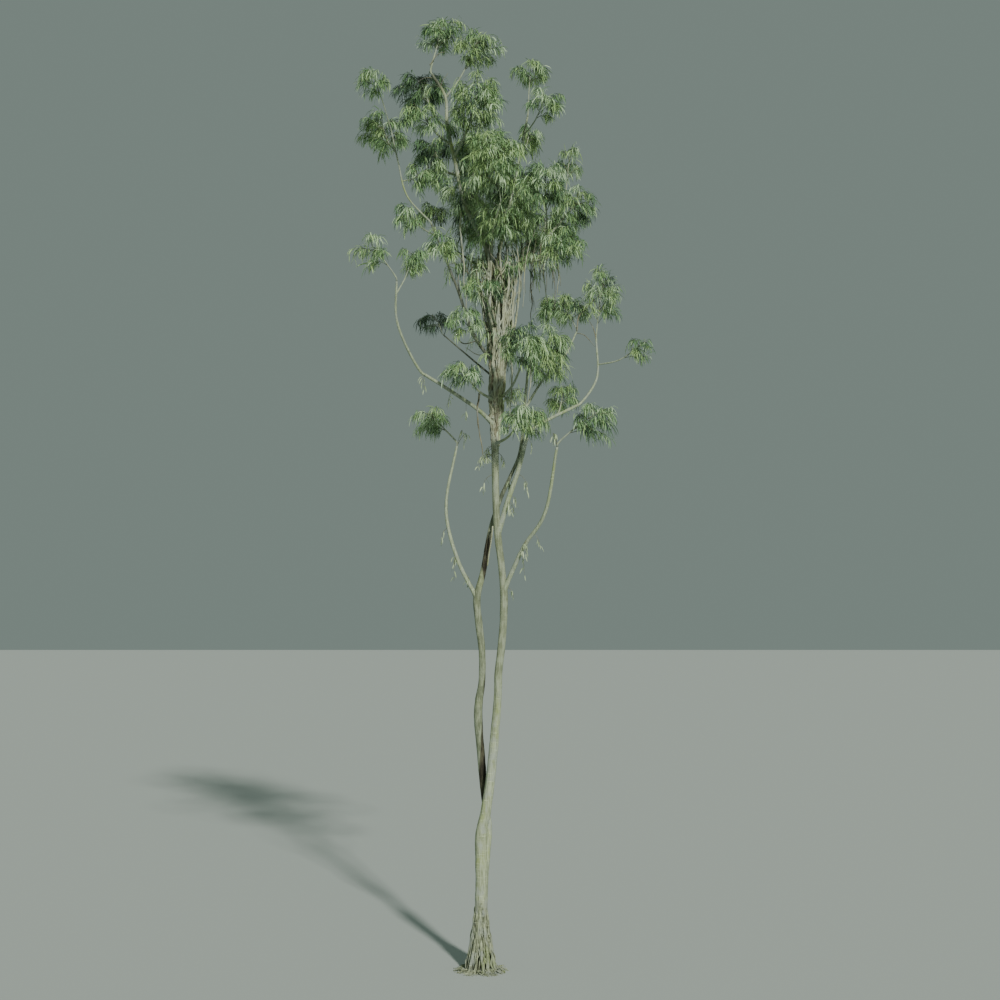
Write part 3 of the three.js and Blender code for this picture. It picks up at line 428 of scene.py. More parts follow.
def seeded_numbers(text):
    """The seeded numbers from 0 to 1 that the solids' roots are drawn with."""
    state = 7
    for letter in text:
        state = (state * 31 + ord(letter)) & WHOLE_NUMBER

    def draw():
        nonlocal state
        state = (state + 0x6D2B79F5) & WHOLE_NUMBER
        scrambled = ((state ^ (state >> 15)) * (state | 1)) & WHOLE_NUMBER
        scrambled ^= (scrambled + (scrambled ^ (scrambled >> 7)) * (scrambled | 61)) & WHOLE_NUMBER
        return (scrambled ^ (scrambled >> 14)) / (WHOLE_NUMBER + 1)

    return draw


def unit(vectors):
    """The same vectors, each one long."""
    return vectors / np.maximum(np.linalg.norm(vectors, axis=-1, keepdims=True), 1e-9)


def level_across(ahead):
    """A level direction across each direction, and some direction across it where it is upright."""
    return unit(np.cross(ahead, UP) + 1e-4)


def lerp(a, b, t):
    return a + (b - a) * t


def noise(points, seed=0):
    """Smooth noise from -1 to 1 at each point, one cycle or so to each unit."""
    cell = np.floor(points).astype(np.int64)
    part = points - cell
    part = part * part * (3 - 2 * part)
    total = np.zeros(points.shape[:-1])
    for corner in np.ndindex(2, 2, 2):
        key = (cell + np.array(corner)) @ NOISE_KEYS + seed * NOISE_SEED_KEY
        key = (key ^ (key >> 13)) * NOISE_MIXER & WHOLE_NUMBER
        weight = np.prod(np.where(np.array(corner) == 1, part, 1 - part), axis=-1)
        total += weight * ((key ^ (key >> 16)) & 0xFFFF) / 0x8000
    return total - 1


# Limbs

def smooth_curve(controls):
    """Points close together on the smooth curve that runs through the controls."""
    given = np.array(controls, float)
    padded = np.vstack([2 * given[0] - given[1], given, 2 * given[-1] - given[-2]])
    shares = np.linspace(0, 1, CURVE_STEPS, endpoint=False)[:, None]
    spans = []
    for i in range(len(given) - 1):
        p0, p1, p2, p3 = padded[i:i + 4]
        d0, d1, d2 = [np.linalg.norm(b - a) ** 0.5 for a, b in ((p0, p1), (p1, p2), (p2, p3))]
        out = ((p1 - p0) / d0 - (p2 - p0) / (d0 + d1) + (p2 - p1) / d1) * d1
        back = ((p2 - p1) / d1 - (p3 - p1) / (d1 + d2) + (p3 - p2) / d2) * d1
        bend = -3 * p1 + 3 * p2 - 2 * out - back
        spans.append(p1 + out * shares + bend * shares ** 2 + (2 * p1 - 2 * p2 + out + back) * shares ** 3)
    return np.vstack([*spans, given[-1:]])


def limb_along(controls, radius_at):
    """A limb: evenly spaced points on the curve through the controls, with the radius at each."""
    dense = smooth_curve(controls)
    reach = np.concatenate([[0], np.cumsum(np.linalg.norm(np.diff(dense, axis=0), axis=1))])
    along = np.linspace(0, reach[-1], max(4, math.ceil(reach[-1] / LIMB_STEP)) + 1)
    points = np.stack([np.interp(along, reach, dense[:, i]) for i in range(3)], axis=1)
    radii = radius_at(points, along / reach[-1])
    return SimpleNamespace(points=points, radii=radii, along=along, length=reach[-1], collar=0)


def point_on(limb, share):
    """The point at a share of a limb's length."""
    place = share * limb.length
    return np.array([np.interp(place, limb.along, limb.points[:, i]) for i in range(3)])


def radius_on(limb, share):
    return np.interp(share * limb.length, limb.along, limb.radii)


def share_at(limb, height):
    """The share of a limb's length at which it reaches a height, or its tip."""
    if height == "tip":
        return 1.0
    return limb.along[np.argmax(limb.points[:, 2] >= height)] / limb.length


def limb_from_heights(rows):
    heights = [row[0] for row in rows]
    radii = [row[3] for row in rows]
    controls = [[x, y, height] for height, x, y, _ in rows]
    return limb_along(controls, lambda points, _: np.interp(points[:, 2], heights, radii))


def tapering(foot_radius, tip_radius):
    return lambda _, shares: lerp(foot_radius, tip_radius, shares)


def growth_start(parent, share, radius):
    """Where a limb starts: in the middle of the limb that carries it, or straight on from its tip."""
    foot = point_on(parent, share)
    if share < 1:
        return [foot]
    ahead = unit(parent.points[-1] - parent.points[-2])
    return [foot, foot + ahead * (radius * STRAIGHT_START)]


def bough_from(parent, height, foot_radius, tip_radius, points):
    share = share_at(parent, height)
    controls = [*growth_start(parent, share, foot_radius), *points]
    bough = limb_along(controls, tapering(foot_radius, tip_radius))
    bough.collar = radius_on(parent, share) if share < 1 else 0
    return bough


def stem_of_foliage(limb, height, middle, half):
    """The stem of a mass: from its limb, bending up to the upper half of its space."""
    share = share_at(limb, height)
    foot_radius = min(radius_on(limb, share) * STEM_FOOT_ON_LIMB, STEM_RADIUS * STEM_FOOT)
    start = growth_start(limb, share, foot_radius)
    end = np.array(middle) + UP * half[2] * STEM_HEIGHT
    rise = STEM_RISE if share == 1 else -STEM_SAG
    bend = lerp(start[0], end, 0.5) + UP * rise * np.linalg.norm(end - start[0])
    tip_radius = min(foot_radius, STEM_RADIUS) * STEM_TIP
    stem = limb_along([*start, bend, end], tapering(foot_radius, tip_radius))
    stem.collar = radius_on(limb, share) if share < 1 else 0
    return stem


limbs = {"trunk": limb_from_heights(TRUNK), "second_stem": limb_from_heights(SECOND_STEM)}
for name, (parent, *shape) in BOUGHS.items():
    limbs[name] = bough_from(limbs[parent], *shape)
trunk = limbs["trunk"]


# Roots

def around(middle, turn, distance, height):
    return [middle[0] + math.cos(turn) * distance, middle[1] + math.sin(turn) * distance, height]


def turn_of(index, count, stray):
    """The turn of one of a ring of roots, moved on by a stray share of the way to the next."""
    return (index + stray) / count * 2 * math.pi


def values_along(radius, values):
    """A radius that follows evenly spread shares of itself along a limb."""
    return lambda _, shares: radius * np.interp(shares, np.linspace(0, 1, len(values)), values)


def trunk_at(height):
    return point_on(trunk, share_at(trunk, height))


def prop_root(turn, draw):
    """A prop root: down the side of the trunk, out over the ground, and tapering to its tip."""
    twist = (draw() - 0.5) * 0.9
    top = PROP_ROOT_TOP * (0.78 + 0.22 * draw())
    foot = PROP_ROOT_SPREAD * (0.85 + 0.3 * draw())
    reach = SURFACE_ROOT_REACH * (0.8 + 0.2 * draw())
    controls = [
        around((0, 0), turn + twist, 0.1, top),
        around((0, 0), turn + twist * 0.7, 0.158, top * 0.6),
        around((0, 0), turn, foot * 0.86, top * 0.2),
        around((0, 0), turn - twist * 0.2, foot * 1.1, 0.024),
        around((0, 0), turn - twist * 0.6, reach, 0.006),
    ]
    radius = PROP_ROOT_RADIUS * (0.8 + 0.4 * draw())
    return limb_along(controls, values_along(radius, [0.8, 1, 1.05, 0.95, 0.45]))


def aerial_root(turn, draw):
    """An aerial root: from the trunk up to the boughs of the crown, which it hung down from."""
    foot = AERIAL_ROOT_FOOT + AERIAL_ROOT_FOOT_SPAN * draw()
    top = AERIAL_ROOT_TOP - AERIAL_ROOT_TOP_SPAN * draw()
    middle = trunk_at(foot + (top - foot) * 0.45)
    fan = AERIAL_ROOT_FAN * (0.45 + 0.55 * draw())
    controls = [
        around(trunk_at(foot), turn, 0.045, foot),
        around(middle, turn, 0.065 + fan * 0.25, foot + (top - foot) * 0.35),
        around(middle, turn, 0.085 + fan * 0.75, foot + (top - foot) * 0.65),
        around((AERIAL_ROOT_MIDDLE, 0), turn, 0.09 + fan * 1.15, top),
    ]
    radius = AERIAL_ROOT_RADIUS * (0.75 + 0.5 * draw())
    return limb_along(controls, values_along(radius, [1.15, 1, 0.8, 0.55]))


def tangled_root(turn, random):
    """A thin aerial root that joins the others: it winds round the trunk, and fans out near its top."""
    foot = AERIAL_ROOT_FOOT + random.uniform(0, TANGLE_FOOT_SPAN)
    top = min(foot + random.uniform(*TANGLE_LENGTH), AERIAL_ROOT_TOP - random.uniform(0, TANGLE_TOP_SPAN))
    heights = np.linspace(foot, top, TANGLE_POINTS)
    turns = turn + np.cumsum(random.uniform(-TANGLE_STRAY, TANGLE_STRAY, TANGLE_POINTS))
    fan = AERIAL_ROOT_FAN * random.uniform(*TANGLE_FAN)
    controls = []
    for height, angle in zip(heights, turns):
        climbed = (height - AERIAL_ROOT_FOOT) / (AERIAL_ROOT_TOP - AERIAL_ROOT_FOOT)
        share = share_at(trunk, min(height, TRUNK_LEANS_FROM))
        middle = lerp(point_on(trunk, share), np.array([TANGLE_MIDDLE, 0, 0]), climbed ** 2)
        spread = min(climbed / TANGLE_OPEN, TANGLE_WIDEST) ** 3
        controls.append(around(middle, angle, radius_on(trunk, share) + fan * spread, height))
    radius = AERIAL_ROOT_RADIUS * random.choice(TANGLE_THICKNESS) * random.uniform(0.8, 1.2)
    return limb_along(controls, values_along(radius, [0.9, 1, 0.75, 0.4]))


def surface_root(turn, random):
    """A short root that runs out over the ground and wanders to its tip."""
    start = random.uniform(*ROOTLET_START)
    reach = random.uniform(*ROOTLET_REACH)
    wander = np.cumsum(random.uniform(-ROOTLET_STRAY, ROOTLET_STRAY, 4))
    lift = random.uniform(*ROOTLET_LIFT)
    controls = [around((0, 0), turn, start, 0.055)]
    for share, height, stray in zip((0.35, 0.7, 1), (lift + 0.01, lift, 0.004), wander):
        controls.append(around((0, 0), turn + stray, lerp(start, reach, share), height))
    return limb_along(controls, values_along(random.uniform(*ROOTLET_RADIUS), [1, 0.9, 0.75, 0.4]))


def thread_root(random):
    """A very thin root that hangs free under the middle of the crown."""
    top = np.array([random.uniform(*span) for span in THREAD_TOPS])
    length = random.uniform(*THREAD_LENGTH)
    bend, end = top + random.normal(0, THREAD_STRAY, (2, 3)) - UP * length * np.array([[0.5], [1]])
    return limb_along([top, bend, end], values_along(random.uniform(*THREAD_RADIUS), [1, 0.9, 0.5]))


def wiggled(limb, size, cycle, seed):
    """The limb with its line wandering to its sides, more in its middle than at its ends."""
    flat = np.zeros_like(limb.along)
    lines = [np.stack([limb.along / cycle, flat, flat + shift], axis=-1) for shift in (0, 7)]
    aside = [noise(line, seed)[:, None] for line in lines]
    _, across, over = directions_along(limb.points)
    hold = np.minimum(1, np.minimum(limb.along, limb.length - limb.along) / cycle)[:, None] * size
    limb.points = limb.points + (across * aside[0] + over * aside[1]) * hold
    return limb


def main_roots():
    """The prop roots and the aerial roots that the solids have."""
    draw = seeded_numbers("roots")
    props = [prop_root(turn_of(i, PROP_ROOTS, 0.6 * draw()), draw) for i in range(PROP_ROOTS)]
    aerials = [aerial_root(turn_of(i, AERIAL_ROOTS, 0.5 * draw()), draw) for i in range(AERIAL_ROOTS)]
    return props, aerials


# Meshes

class Pile:
    """The corners and faces of one piece, gathered from many shapes."""

    def __init__(self):
        self.points, self.quads, self.triangles = [], [], []
        self.count = 0

    def add(self, points, quads, triangles):
        self.points.append(points.reshape(-1, 3))
        self.quads.append(quads.reshape(-1, 4) + self.count)
        self.triangles.append(triangles.reshape(-1, 3) + self.count)
        self.count += len(self.points[-1])

    def make(self, name, material, slot, nodes=()):
        """The piece: one mesh that rides on the tree and stands for the nodes."""
        points = np.vstack(self.points)
        points[:, 2] = np.maximum(points[:, 2], 0)
        quads, triangles = np.vstack(self.quads), np.vstack(self.triangles)
        sizes = np.concatenate([np.full(len(quads), 4), np.full(len(triangles), 3)])
        corners = np.concatenate([quads.ravel(), triangles.ravel()])
        mesh = bpy.data.meshes.new(name)
        mesh.vertices.add(len(points))
        mesh.vertices.foreach_set("co", points.astype(np.float32).ravel())
        mesh.loops.add(len(corners))
        mesh.loops.foreach_set("vertex_index", corners.astype(np.int32))
        mesh.polygons.add(len(sizes))
        mesh.polygons.foreach_set("loop_start", (np.cumsum(sizes) - sizes).astype(np.int32))
        mesh.polygons.foreach_set("use_smooth", np.ones(len(sizes), bool))
        mesh.update(calc_edges=True)
        mesh.materials.append(material)
        piece = add_to_scene(name, mesh)
        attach(piece, "root")
        if nodes:
            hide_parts(*nodes)


def add_to_scene(name, data):
    made = bpy.data.objects.new(name, data)
    bpy.context.scene.collection.objects.link(made)
    return made


def directions_along(points):
    """The direction along a line at each point, and two across it that turn as little as they can."""
    ahead = unit(np.gradient(points, axis=0))
    across = np.empty_like(points)
    across[0] = unit(np.cross(ahead[0], ASIDE))
    for i in range(1, len(points)):
        turned = across[i - 1] - ahead[i] * (across[i - 1] @ ahead[i])
        across[i] = turned / np.linalg.norm(turned)
    return ahead, across, np.cross(ahead, across)


def ring_directions(across, over, sides):
    """The directions from points on lines to the corners of the rings round them."""
    angles = np.linspace(0, 2 * math.pi, sides, endpoint=False)[:, None]
    return np.cos(angles) * across[..., None, :] + np.sin(angles) * over[..., None, :]


def add_rings(pile, rings):
    """A closed tube through rings of corners: (tubes, rings, sides, 3)."""
    tubes, count, sides, _ = rings.shape
    place = np.arange(count * sides).reshape(count, sides)
    beside = np.roll(place, -1, axis=1)
    quads = np.stack([place[:-1], beside[:-1], beside[1:], place[1:]], axis=-1).reshape(-1, 4)
    ends = np.array([count * sides, count * sides + 1])
    caps = np.concatenate([
        np.stack([beside[0], place[0], np.full(sides, ends[0])], axis=-1),
        np.stack([place[-1], beside[-1], np.full(sides, ends[1])], axis=-1),
    ])
    middles = np.stack([rings[:, 0].mean(axis=1), rings[:, -1].mean(axis=1)], axis=1)
    points = np.concatenate([rings.reshape(tubes, -1, 3), middles], axis=1)
    shift = (np.arange(tubes) * points.shape[1])[:, None, None]
    pile.add(points, quads + shift, caps + shift)


def add_bark(pile, limb, sides, ring_step, flutes, lumps, seed):
    """A limb's surface, with flutes along it, lumps, fine rings and a collar where it grows out."""
    rings = max(4, round(limb.length / ring_step))
    picks = np.unique(np.linspace(0, len(limb.points) - 1, rings).round().astype(int))
    points, radii, along = limb.points[picks], limb.radii[picks], limb.along[picks]
    _, across, over = directions_along(points)
    circle = ring_directions(np.array([1, 0, 0]), np.array([0, 1, 0]), sides)
    upwards = along[:, None, None] * np.array([0, 0, 1])

    def pattern(cells_round, cells_along, start):
        """Noise over the surface, as if the limb were a straight cylinder."""
        return noise(circle * cells_round + upwards * cells_along + [0, 0, start], seed)

    relief = flutes * pattern(*FLUTE_NOISE) + lumps * pattern(*LUMP_NOISE)
    relief += 0.5 * lumps * pattern(*SMALL_LUMP_NOISE) + RING_DEPTH * pattern(*RING_NOISE)
    flare = min(LARGEST_FLARE, max(0, COLLAR_SHARE * limb.collar / limb.radii[0] - 1))
    fade = np.exp(-np.maximum(along - limb.collar, 0) / (FLARE_LENGTH * limb.radii[0]))
    radius = (radii * (1 + flare * fade))[:, None] * (1 + relief)
    rim = ring_directions(across, over, sides)
    add_rings(pile, (points[:, None] + rim * radius[..., None])[None])


def add_root(pile, root, kind, index):
    """A root of a kind: its line is set wandering, and it gets its bark."""
    relief, wander, (wander_seed, relief_seed) = ROOT_KINDS[kind]
    add_bark(pile, wiggled(root, *wander, wander_seed + index), *relief, relief_seed + index)


def bezier(twigs, shares):
    """Points at shares of the length of bent twigs, each given by its start, bend and end."""
    starts, bends, ends = twigs
    return starts * (1 - shares) ** 2 + 2 * bends * shares * (1 - shares) + ends * shares ** 2


def heading(twigs, shares):
    """The direction of bent twigs at shares of their length."""
    starts, bends, ends = twigs
    return unit(lerp(bends - starts, ends - bends, shares))


def chosen(twigs, keep):
    """The bent twigs that a mask or a list of numbers picks out."""
    return [part[keep] for part in twigs]


def add_twigs(pile, twigs, foot_radii, sides, rings):
    """Many small twigs at once, each a bent line that tapers from its start to its end."""
    shares = np.linspace(0, 1, rings)[None, :, None]
    lines = bezier([part[:, None] for part in twigs], shares)
    ahead = unit(np.gradient(lines, axis=1))
    across = unit(np.cross(ahead, TWIG_ASIDE))
    rim = ring_directions(across, np.cross(ahead, across), sides)
    foot_radii = np.broadcast_to(foot_radii, len(twigs[0]))
    radii = foot_radii[:, None] * lerp(1, TWIG_TAPER, shares[..., 0])
    add_rings(pile, lines[:, :, None] + rim * radii[:, :, None, None])


def leaf_corners(roots, aims, lengths, widths, droops, rolls):
    """Corners of many leaves: each bends down as it leaves its root, and folds along its midrib."""
    place, corners = roots, [roots[:, None]]
    for i in range(1, len(LEAF_SHARES)):
        middle = (LEAF_SHARES[i - 1] + LEAF_SHARES[i]) / 2
        ahead = unit(aims - UP * (droops * middle)[:, None])
        place = place + ahead * (lengths * (LEAF_SHARES[i] - LEAF_SHARES[i - 1]))[:, None]
        if i == len(LEAF_SHARES) - 1:
            corners.append(place[:, None])
            break
        level = level_across(ahead)
        face = np.cross(level, ahead)
        side = level * np.cos(rolls)[:, None] + face * np.sin(rolls)[:, None]
        lift = np.cross(side, ahead)
        half = (widths * LEAF_HALF_WIDTHS[i])[:, None]
        edge = place + lift * half * LEAF_FOLD
        corners.append(np.stack([edge - side * half, place, edge + side * half], axis=1))
    return np.concatenate(corners, axis=1)


def add_leaves(pile, corners):
    shift = (np.arange(len(corners)) * corners.shape[1])[:, None, None]
    pile.add(corners, LEAF_QUADS + shift, LEAF_TRIANGLES + shift)


# Foliage

FOLIAGE_NODES = [f"foliage_{name}" for name in FOLIAGE]
MIDDLES = np.array([row[2] for row in FOLIAGE.values()], float)
HALVES = np.array([row[3] for row in FOLIAGE.values()], float)


def keeps_to_space(points, index):
    """Whether each point is within reach of its own space and deeper in it than in any other."""
    depths = np.linalg.norm((points[:, None] - MIDDLES) / HALVES, axis=2)
    own = depths[:, index].copy()
    depths[:, index] = np.inf
    reach = np.where(points[:, 2] > MIDDLES[index, 2], TOP_REACH, LEAF_REACH)
    return (own <= reach) & (own < depths.min(axis=1))


def keeps_off_limbs(points, limb_points, limb_radii):
    near = np.linalg.norm(points[:, None] - limb_points, axis=2) > limb_radii + CLEARANCE
    return near.all(axis=1)


def golden_branches(stem, middle, half, count, lowest, random):
    """Arching branches from the stem to the space's skin, turned by the golden angle each time."""
    shares = (np.arange(count) + random.uniform(-0.5, 0.5, count)).clip(0) / max(count - 1, 1)
    leafy = min((HIGHEST - lowest) * half[2] / stem.length, LEAFY_SHARE)
    feet = np.stack([point_on(stem, FIRST_BRANCH - leafy * share) for share in shares])
    heights = lerp(HIGHEST, lowest, shares) * random.uniform(*HEIGHT_STRAY, count)
    heights = heights.clip(-HEIGHT_LIMIT, HEIGHT_LIMIT)
    turns = random.uniform(0, 2 * math.pi) + np.arange(count) * GOLDEN_ANGLE
    turns += random.uniform(-TURN_STRAY, TURN_STRAY, count)
    wide = np.sqrt(np.maximum(1 - heights ** 2, 0)) * random.uniform(*BRANCH_REACH, count)
    ends = middle + np.stack([np.cos(turns) * wide, np.sin(turns) * wide, heights], axis=1) * half
    arch = np.linalg.norm(ends - feet, axis=1)[:, None] * random.uniform(*BRANCH_ARCH, (count, 1))
    return [feet, lerp(feet, ends, BEND_AT) + UP * arch, ends]


def side_twigs(parents, per_parent, lengths, falls, random):
    """Twigs along the outer part of each parent, to both sides and over its end, that droop."""
    total = len(parents[0]) * per_parent
    parent = np.repeat(np.arange(len(parents[0])), per_parent)
    shares = np.tile(np.linspace(TWIGS_FROM, 1, per_parent), len(parents[0]))
    shares = (shares + random.uniform(-TWIG_SHIFT, 0, total)).clip(0, 1)[:, None]
    parents = chosen(parents, parent)
    starts, ahead = bezier(parents, shares), heading(parents, shares)
    side = random.uniform(-TWIG_SIDE, TWIG_SIDE, total)[:, None]
    stray = random.normal(0, TWIG_STRAY, (total, 3))
    aims = unit(ahead * TWIG_AHEAD + level_across(ahead) * side + UP * TWIG_RISE + stray)
    size = random.uniform(*lengths, total)[:, None]
    fall = random.uniform(*falls, total)[:, None]
    return parent, [starts, starts + aims * size * BEND_AT, starts + (aims - UP * fall) * size]


def leaves_along(twigs, per_twig, from_share, random):
    """Corners of the leaves along each twig, turned out to its sides and drooping, and their twig."""
    count = len(twigs[0])
    twig = np.repeat(np.arange(count), per_twig)
    total = len(twig)
    shares = np.tile(np.linspace(from_share, 1, per_twig), count)
    shares = (shares + random.uniform(-LEAF_SHIFT, LEAF_SHIFT, total)).clip(0, 1)[:, None]
    twigs = chosen(twigs, twig)
    roots, ahead = bezier(twigs, shares), heading(twigs, shares)
    turns = np.arange(total) * GOLDEN_ANGLE + random.uniform(-TURN_STRAY, TURN_STRAY, total)
    level = level_across(ahead)
    above = np.cross(level, ahead)
    outwards = level * np.cos(turns)[:, None] + above * (LEAVES_ABOVE * np.sin(turns))[:, None]
    aims = unit(ahead * LEAF_AHEAD + outwards + UP * LEAF_RISE)
    lengths = random.uniform(*LEAF_LENGTH, total)
    widths = lengths * random.uniform(*LEAF_WIDTH_SHARE, total)
    droops = random.uniform(*LEAF_DROOP, total)
    rolls = random.normal(0, LEAF_ROLL, total)
    return twig, leaf_corners(roots, aims, lengths, widths, droops, rolls)


def grow_mass(index, name, piles, limb_points, limb_radii):
    """One mass: branches that arch out from its stem, twigs along them, and leaves along both."""
    limb, height, middle, half, fullness, mixture = FOLIAGE[name]
    middle, half = np.array(middle, float), np.array(half, float)
    random = np.random.default_rng(1000 + index)
    stem = stem_of_foliage(limbs[limb], height, middle, half)
    add_bark(piles["stems"], stem, *FOLIAGE_STEM_RELIEF, index)

    count = max(FEWEST_BRANCHES, round(np.prod(half) ** (2 / 3) * fullness / BRANCH_SECTION))
    lowest = DENSE_LOWEST if fullness > 1 else LOWEST
    branches = golden_branches(stem, middle, half, count, lowest, random)
    add_twigs(piles["branches"], branches, random.uniform(*BRANCH_RADIUS, count), *BRANCH_MESH)
    parent, twigs = side_twigs(branches, TWIGS_PER_BRANCH, TWIG_LENGTH, TWIG_FALL, random)
    keep = keeps_to_space(twigs[2], index)
    parent, twigs = parent[keep], chosen(twigs, keep)
    add_twigs(piles["twigs"], twigs, TWIG_RADIUS, *TWIG_MESH)

    shades = shades_of(mixture, count, random)
    near = (np.abs(limb_points - middle) < half * 1.5 + 0.1).all(axis=1)  # in reach of its leaves
    for carriers, per_carrier, from_share, shade in (
        (branches, LEAVES_PER_BRANCH, BRANCH_LEAVES_FROM, shades),
        (twigs, LEAVES_PER_TWIG, TWIG_LEAVES_FROM, shades[parent]),
    ):
        carrier, corners = leaves_along(carriers, per_carrier, from_share, random)
        keep = keeps_to_space(corners[:, LEAF_TIP], index)
        for corner in (LEAF_MIDDLE, LEAF_TIP):
            keep &= keeps_off_limbs(corners[:, corner], limb_points[near], limb_radii[near])
        add_by_shade(piles["leaves"], corners[keep], stray_shades(shade[carrier[keep]], mixture, random))


def grow_limb_sprays(piles, random):
    """Small leafy twigs straight from the limbs of the crown, out and then down."""
    starts, aims = [], []
    for name, low, high, count in LIMB_SPRAYS:
        for height in random.uniform(low, high, count):
            turn = random.uniform(0, 2 * math.pi)
            starts.append(point_on(limbs[name], share_at(limbs[name], height)))
            aims.append(around((0, 0), turn, 1, random.uniform(*SPRAY_RISE)))
    starts, aims = np.array(starts), unit(np.array(aims))
    size = random.uniform(*SPRAY_LENGTH, len(starts))[:, None]
    ends = starts + (aims - UP * SPRAY_FALL) * size
    branches = [starts, starts + aims * size * SPRAY_BEND_AT, ends]
    add_twigs(piles["branches"], branches, random.uniform(*SPRAY_RADIUS, len(starts)), *SPRAY_MESH)
    _, twigs = side_twigs(branches, TWIGS_PER_SPRAY, SPRAY_TWIG_LENGTH, SPRAY_TWIG_FALL, random)
    add_twigs(piles["twigs"], twigs, SPRAY_TWIG_RADIUS, *SPRAY_TWIG_MESH)
    twig, corners = leaves_along(twigs, LEAVES_PER_TWIG, TWIG_LEAVES_FROM, random)
    add_by_shade(piles["leaves"], corners, shades_of("plain", len(twigs[0]), random)[twig])


def grow_wisps(strings, leaves, random):
    """Withered leaves on thin strings that hang from the limbs below the crown."""
    wisps = []
    for name, place, count, spread, length in WISPS:
        limb = limbs[name]
        near = limb.points[np.argmin(np.linalg.norm(limb.points - place, axis=1))]
        for _ in range(count):
            bend = place + random.normal(0, spread, 3)
            end = bend + random.normal(0, spread * 0.5, 3) - UP * length * random.uniform(*STRING_FALL)
            wisps.append([near, bend, end])
    wisps = list(np.array(wisps).swapaxes(0, 1))
    add_twigs(strings, wisps, STRING_RADIUS, *STRING_MESH)
    wisp = np.repeat(np.arange(len(wisps[0])), LEAVES_PER_WISP)
    total = len(wisp)
    roots = bezier(chosen(wisps, wisp), random.uniform(WITHERED_FROM, 1, (total, 1)))
    aims = unit(random.normal(0, 0.5, (total, 3)) - UP * 0.6)
    lengths = random.uniform(*WITHERED_LENGTH, total)
    rolls = random.uniform(-WITHERED_ROLL, WITHERED_ROLL, total)
    droops = random.uniform(*WITHERED_DROOP, total)
    add_leaves(leaves, leaf_corners(roots, aims, lengths, lengths * WITHERED_WIDTH_SHARE, droops, rolls))


def shades_of(mixture, count, random):
    """Which leaf shade each of many sprays or leaves has."""
    return random.choice(len(LEAF_SHADES), size=count, p=MIXTURES[mixture])


def stray_shades(shade, mixture, random):
    """The leaves' shades, with some of them drawn anew."""
    stray = random.random(len(shade)) < STRAY_LEAVES
    shade[stray] = shades_of(mixture, int(stray.sum()), random)
    return shade


def add_by_shade(piles, corners, shade):
    for i, pile in enumerate(piles):
        add_leaves(pile, corners[shade == i])


# Materials

def set_input(tree, socket, value):
    """Links an input to another node's output, or gives it a value of its own."""
    if isinstance(value, bpy.types.NodeSocket):
        tree.links.new(value, socket)
    else:
        socket.default_value = value


def node_of(tree, kind, **inputs):
    """A shader node with values or links for its inputs, by name or number."""
    node = tree.nodes.new(kind)
    for key, value in inputs.items():
        place = int(key[1:]) if key[0] == "_" else key.replace("_", " ")
        set_input(tree, node.inputs[place], value)
    return node


def place_on_object(tree):
    return node_of(tree, "ShaderNodeTexCoord").outputs["Object"]


def noise_at(tree, stretch, scale, detail=3.0, roughness=0.55):
    """A noise over the object's own space, stretched along each axis."""
    mapped = node_of(tree, "ShaderNodeMapping", Vector=place_on_object(tree), Scale=stretch).outputs[0]
    texture = node_of(tree, "ShaderNodeTexNoise", Vector=mapped, Scale=scale, Detail=detail,
                      Roughness=roughness)
    return texture.outputs[0]


def between(tree, value, low, high, to_low=0.0, to_high=1.0):
    """A value mapped from one range to another, and kept inside it."""
    return node_of(tree, "ShaderNodeMapRange", Value=value, From_Min=low, From_Max=high,
                   To_Min=to_low, To_Max=to_high).outputs[0]


def mixed(tree, share, first, second):
    """One colour turning into another by a share."""
    mix = tree.nodes.new("ShaderNodeMix")
    mix.data_type = "RGBA"
    for place, value in ((0, share), (6, first), (7, second)):
        set_input(tree, mix.inputs[place], (*value, 1) if isinstance(value, tuple) else value)
    return mix.outputs[2]


def calculated(tree, operation, first, second):
    node = node_of(tree, "ShaderNodeMath", _0=first, _1=second)
    node.operation = operation
    return node.outputs[0]


def material_named(name, **fixed):
    """A new material with its shader's own fixed values set."""
    material = bpy.data.materials.new(name)
    material.use_nodes = True
    shader = material.node_tree.nodes["Principled BSDF"]
    for key, value in fixed.items():
        shader.inputs[key.replace("_", " ")].default_value = value
    return material, material.node_tree, shader


def add_bump(tree, shader, strength, depth, height):
    bump = node_of(tree, "ShaderNodeBump", Strength=strength, Distance=depth, Height=height)
    tree.links.new(bump.outputs[0], shader.inputs["Normal"])


class Band(NamedTuple):
    """Other bark colours between two heights, and right of a leaning line if there is one."""
    low: float
    high: float
    fade: float  # height over which it comes in, and goes out again
    ground: tuple
    streak: tuple
    strength: float = 1
    line: tuple = None  # its lean, and how far right it is at the ground


LINE_FADE = 0.025  # width over which a band fades in beyond its line


def share_of_band(tree, band):
    """How much there is of a band's colours at each place."""
    right, _, height = node_of(tree, "ShaderNodeSeparateXYZ", Vector=place_on_object(tree)).outputs
    over = between(tree, height, band.low, band.low + band.fade, 0, band.strength)
    under = between(tree, height, band.high - band.fade, band.high, 1, 0)
    share = calculated(tree, "MULTIPLY", over, under)
    if band.line is None:
        return share
    lean, start = band.line
    line = calculated(tree, "ADD", calculated(tree, "MULTIPLY", height, lean), start)
    beyond = calculated(tree, "SUBTRACT", right, line)
    return calculated(tree, "MULTIPLY", share, between(tree, beyond, 0, LINE_FADE))


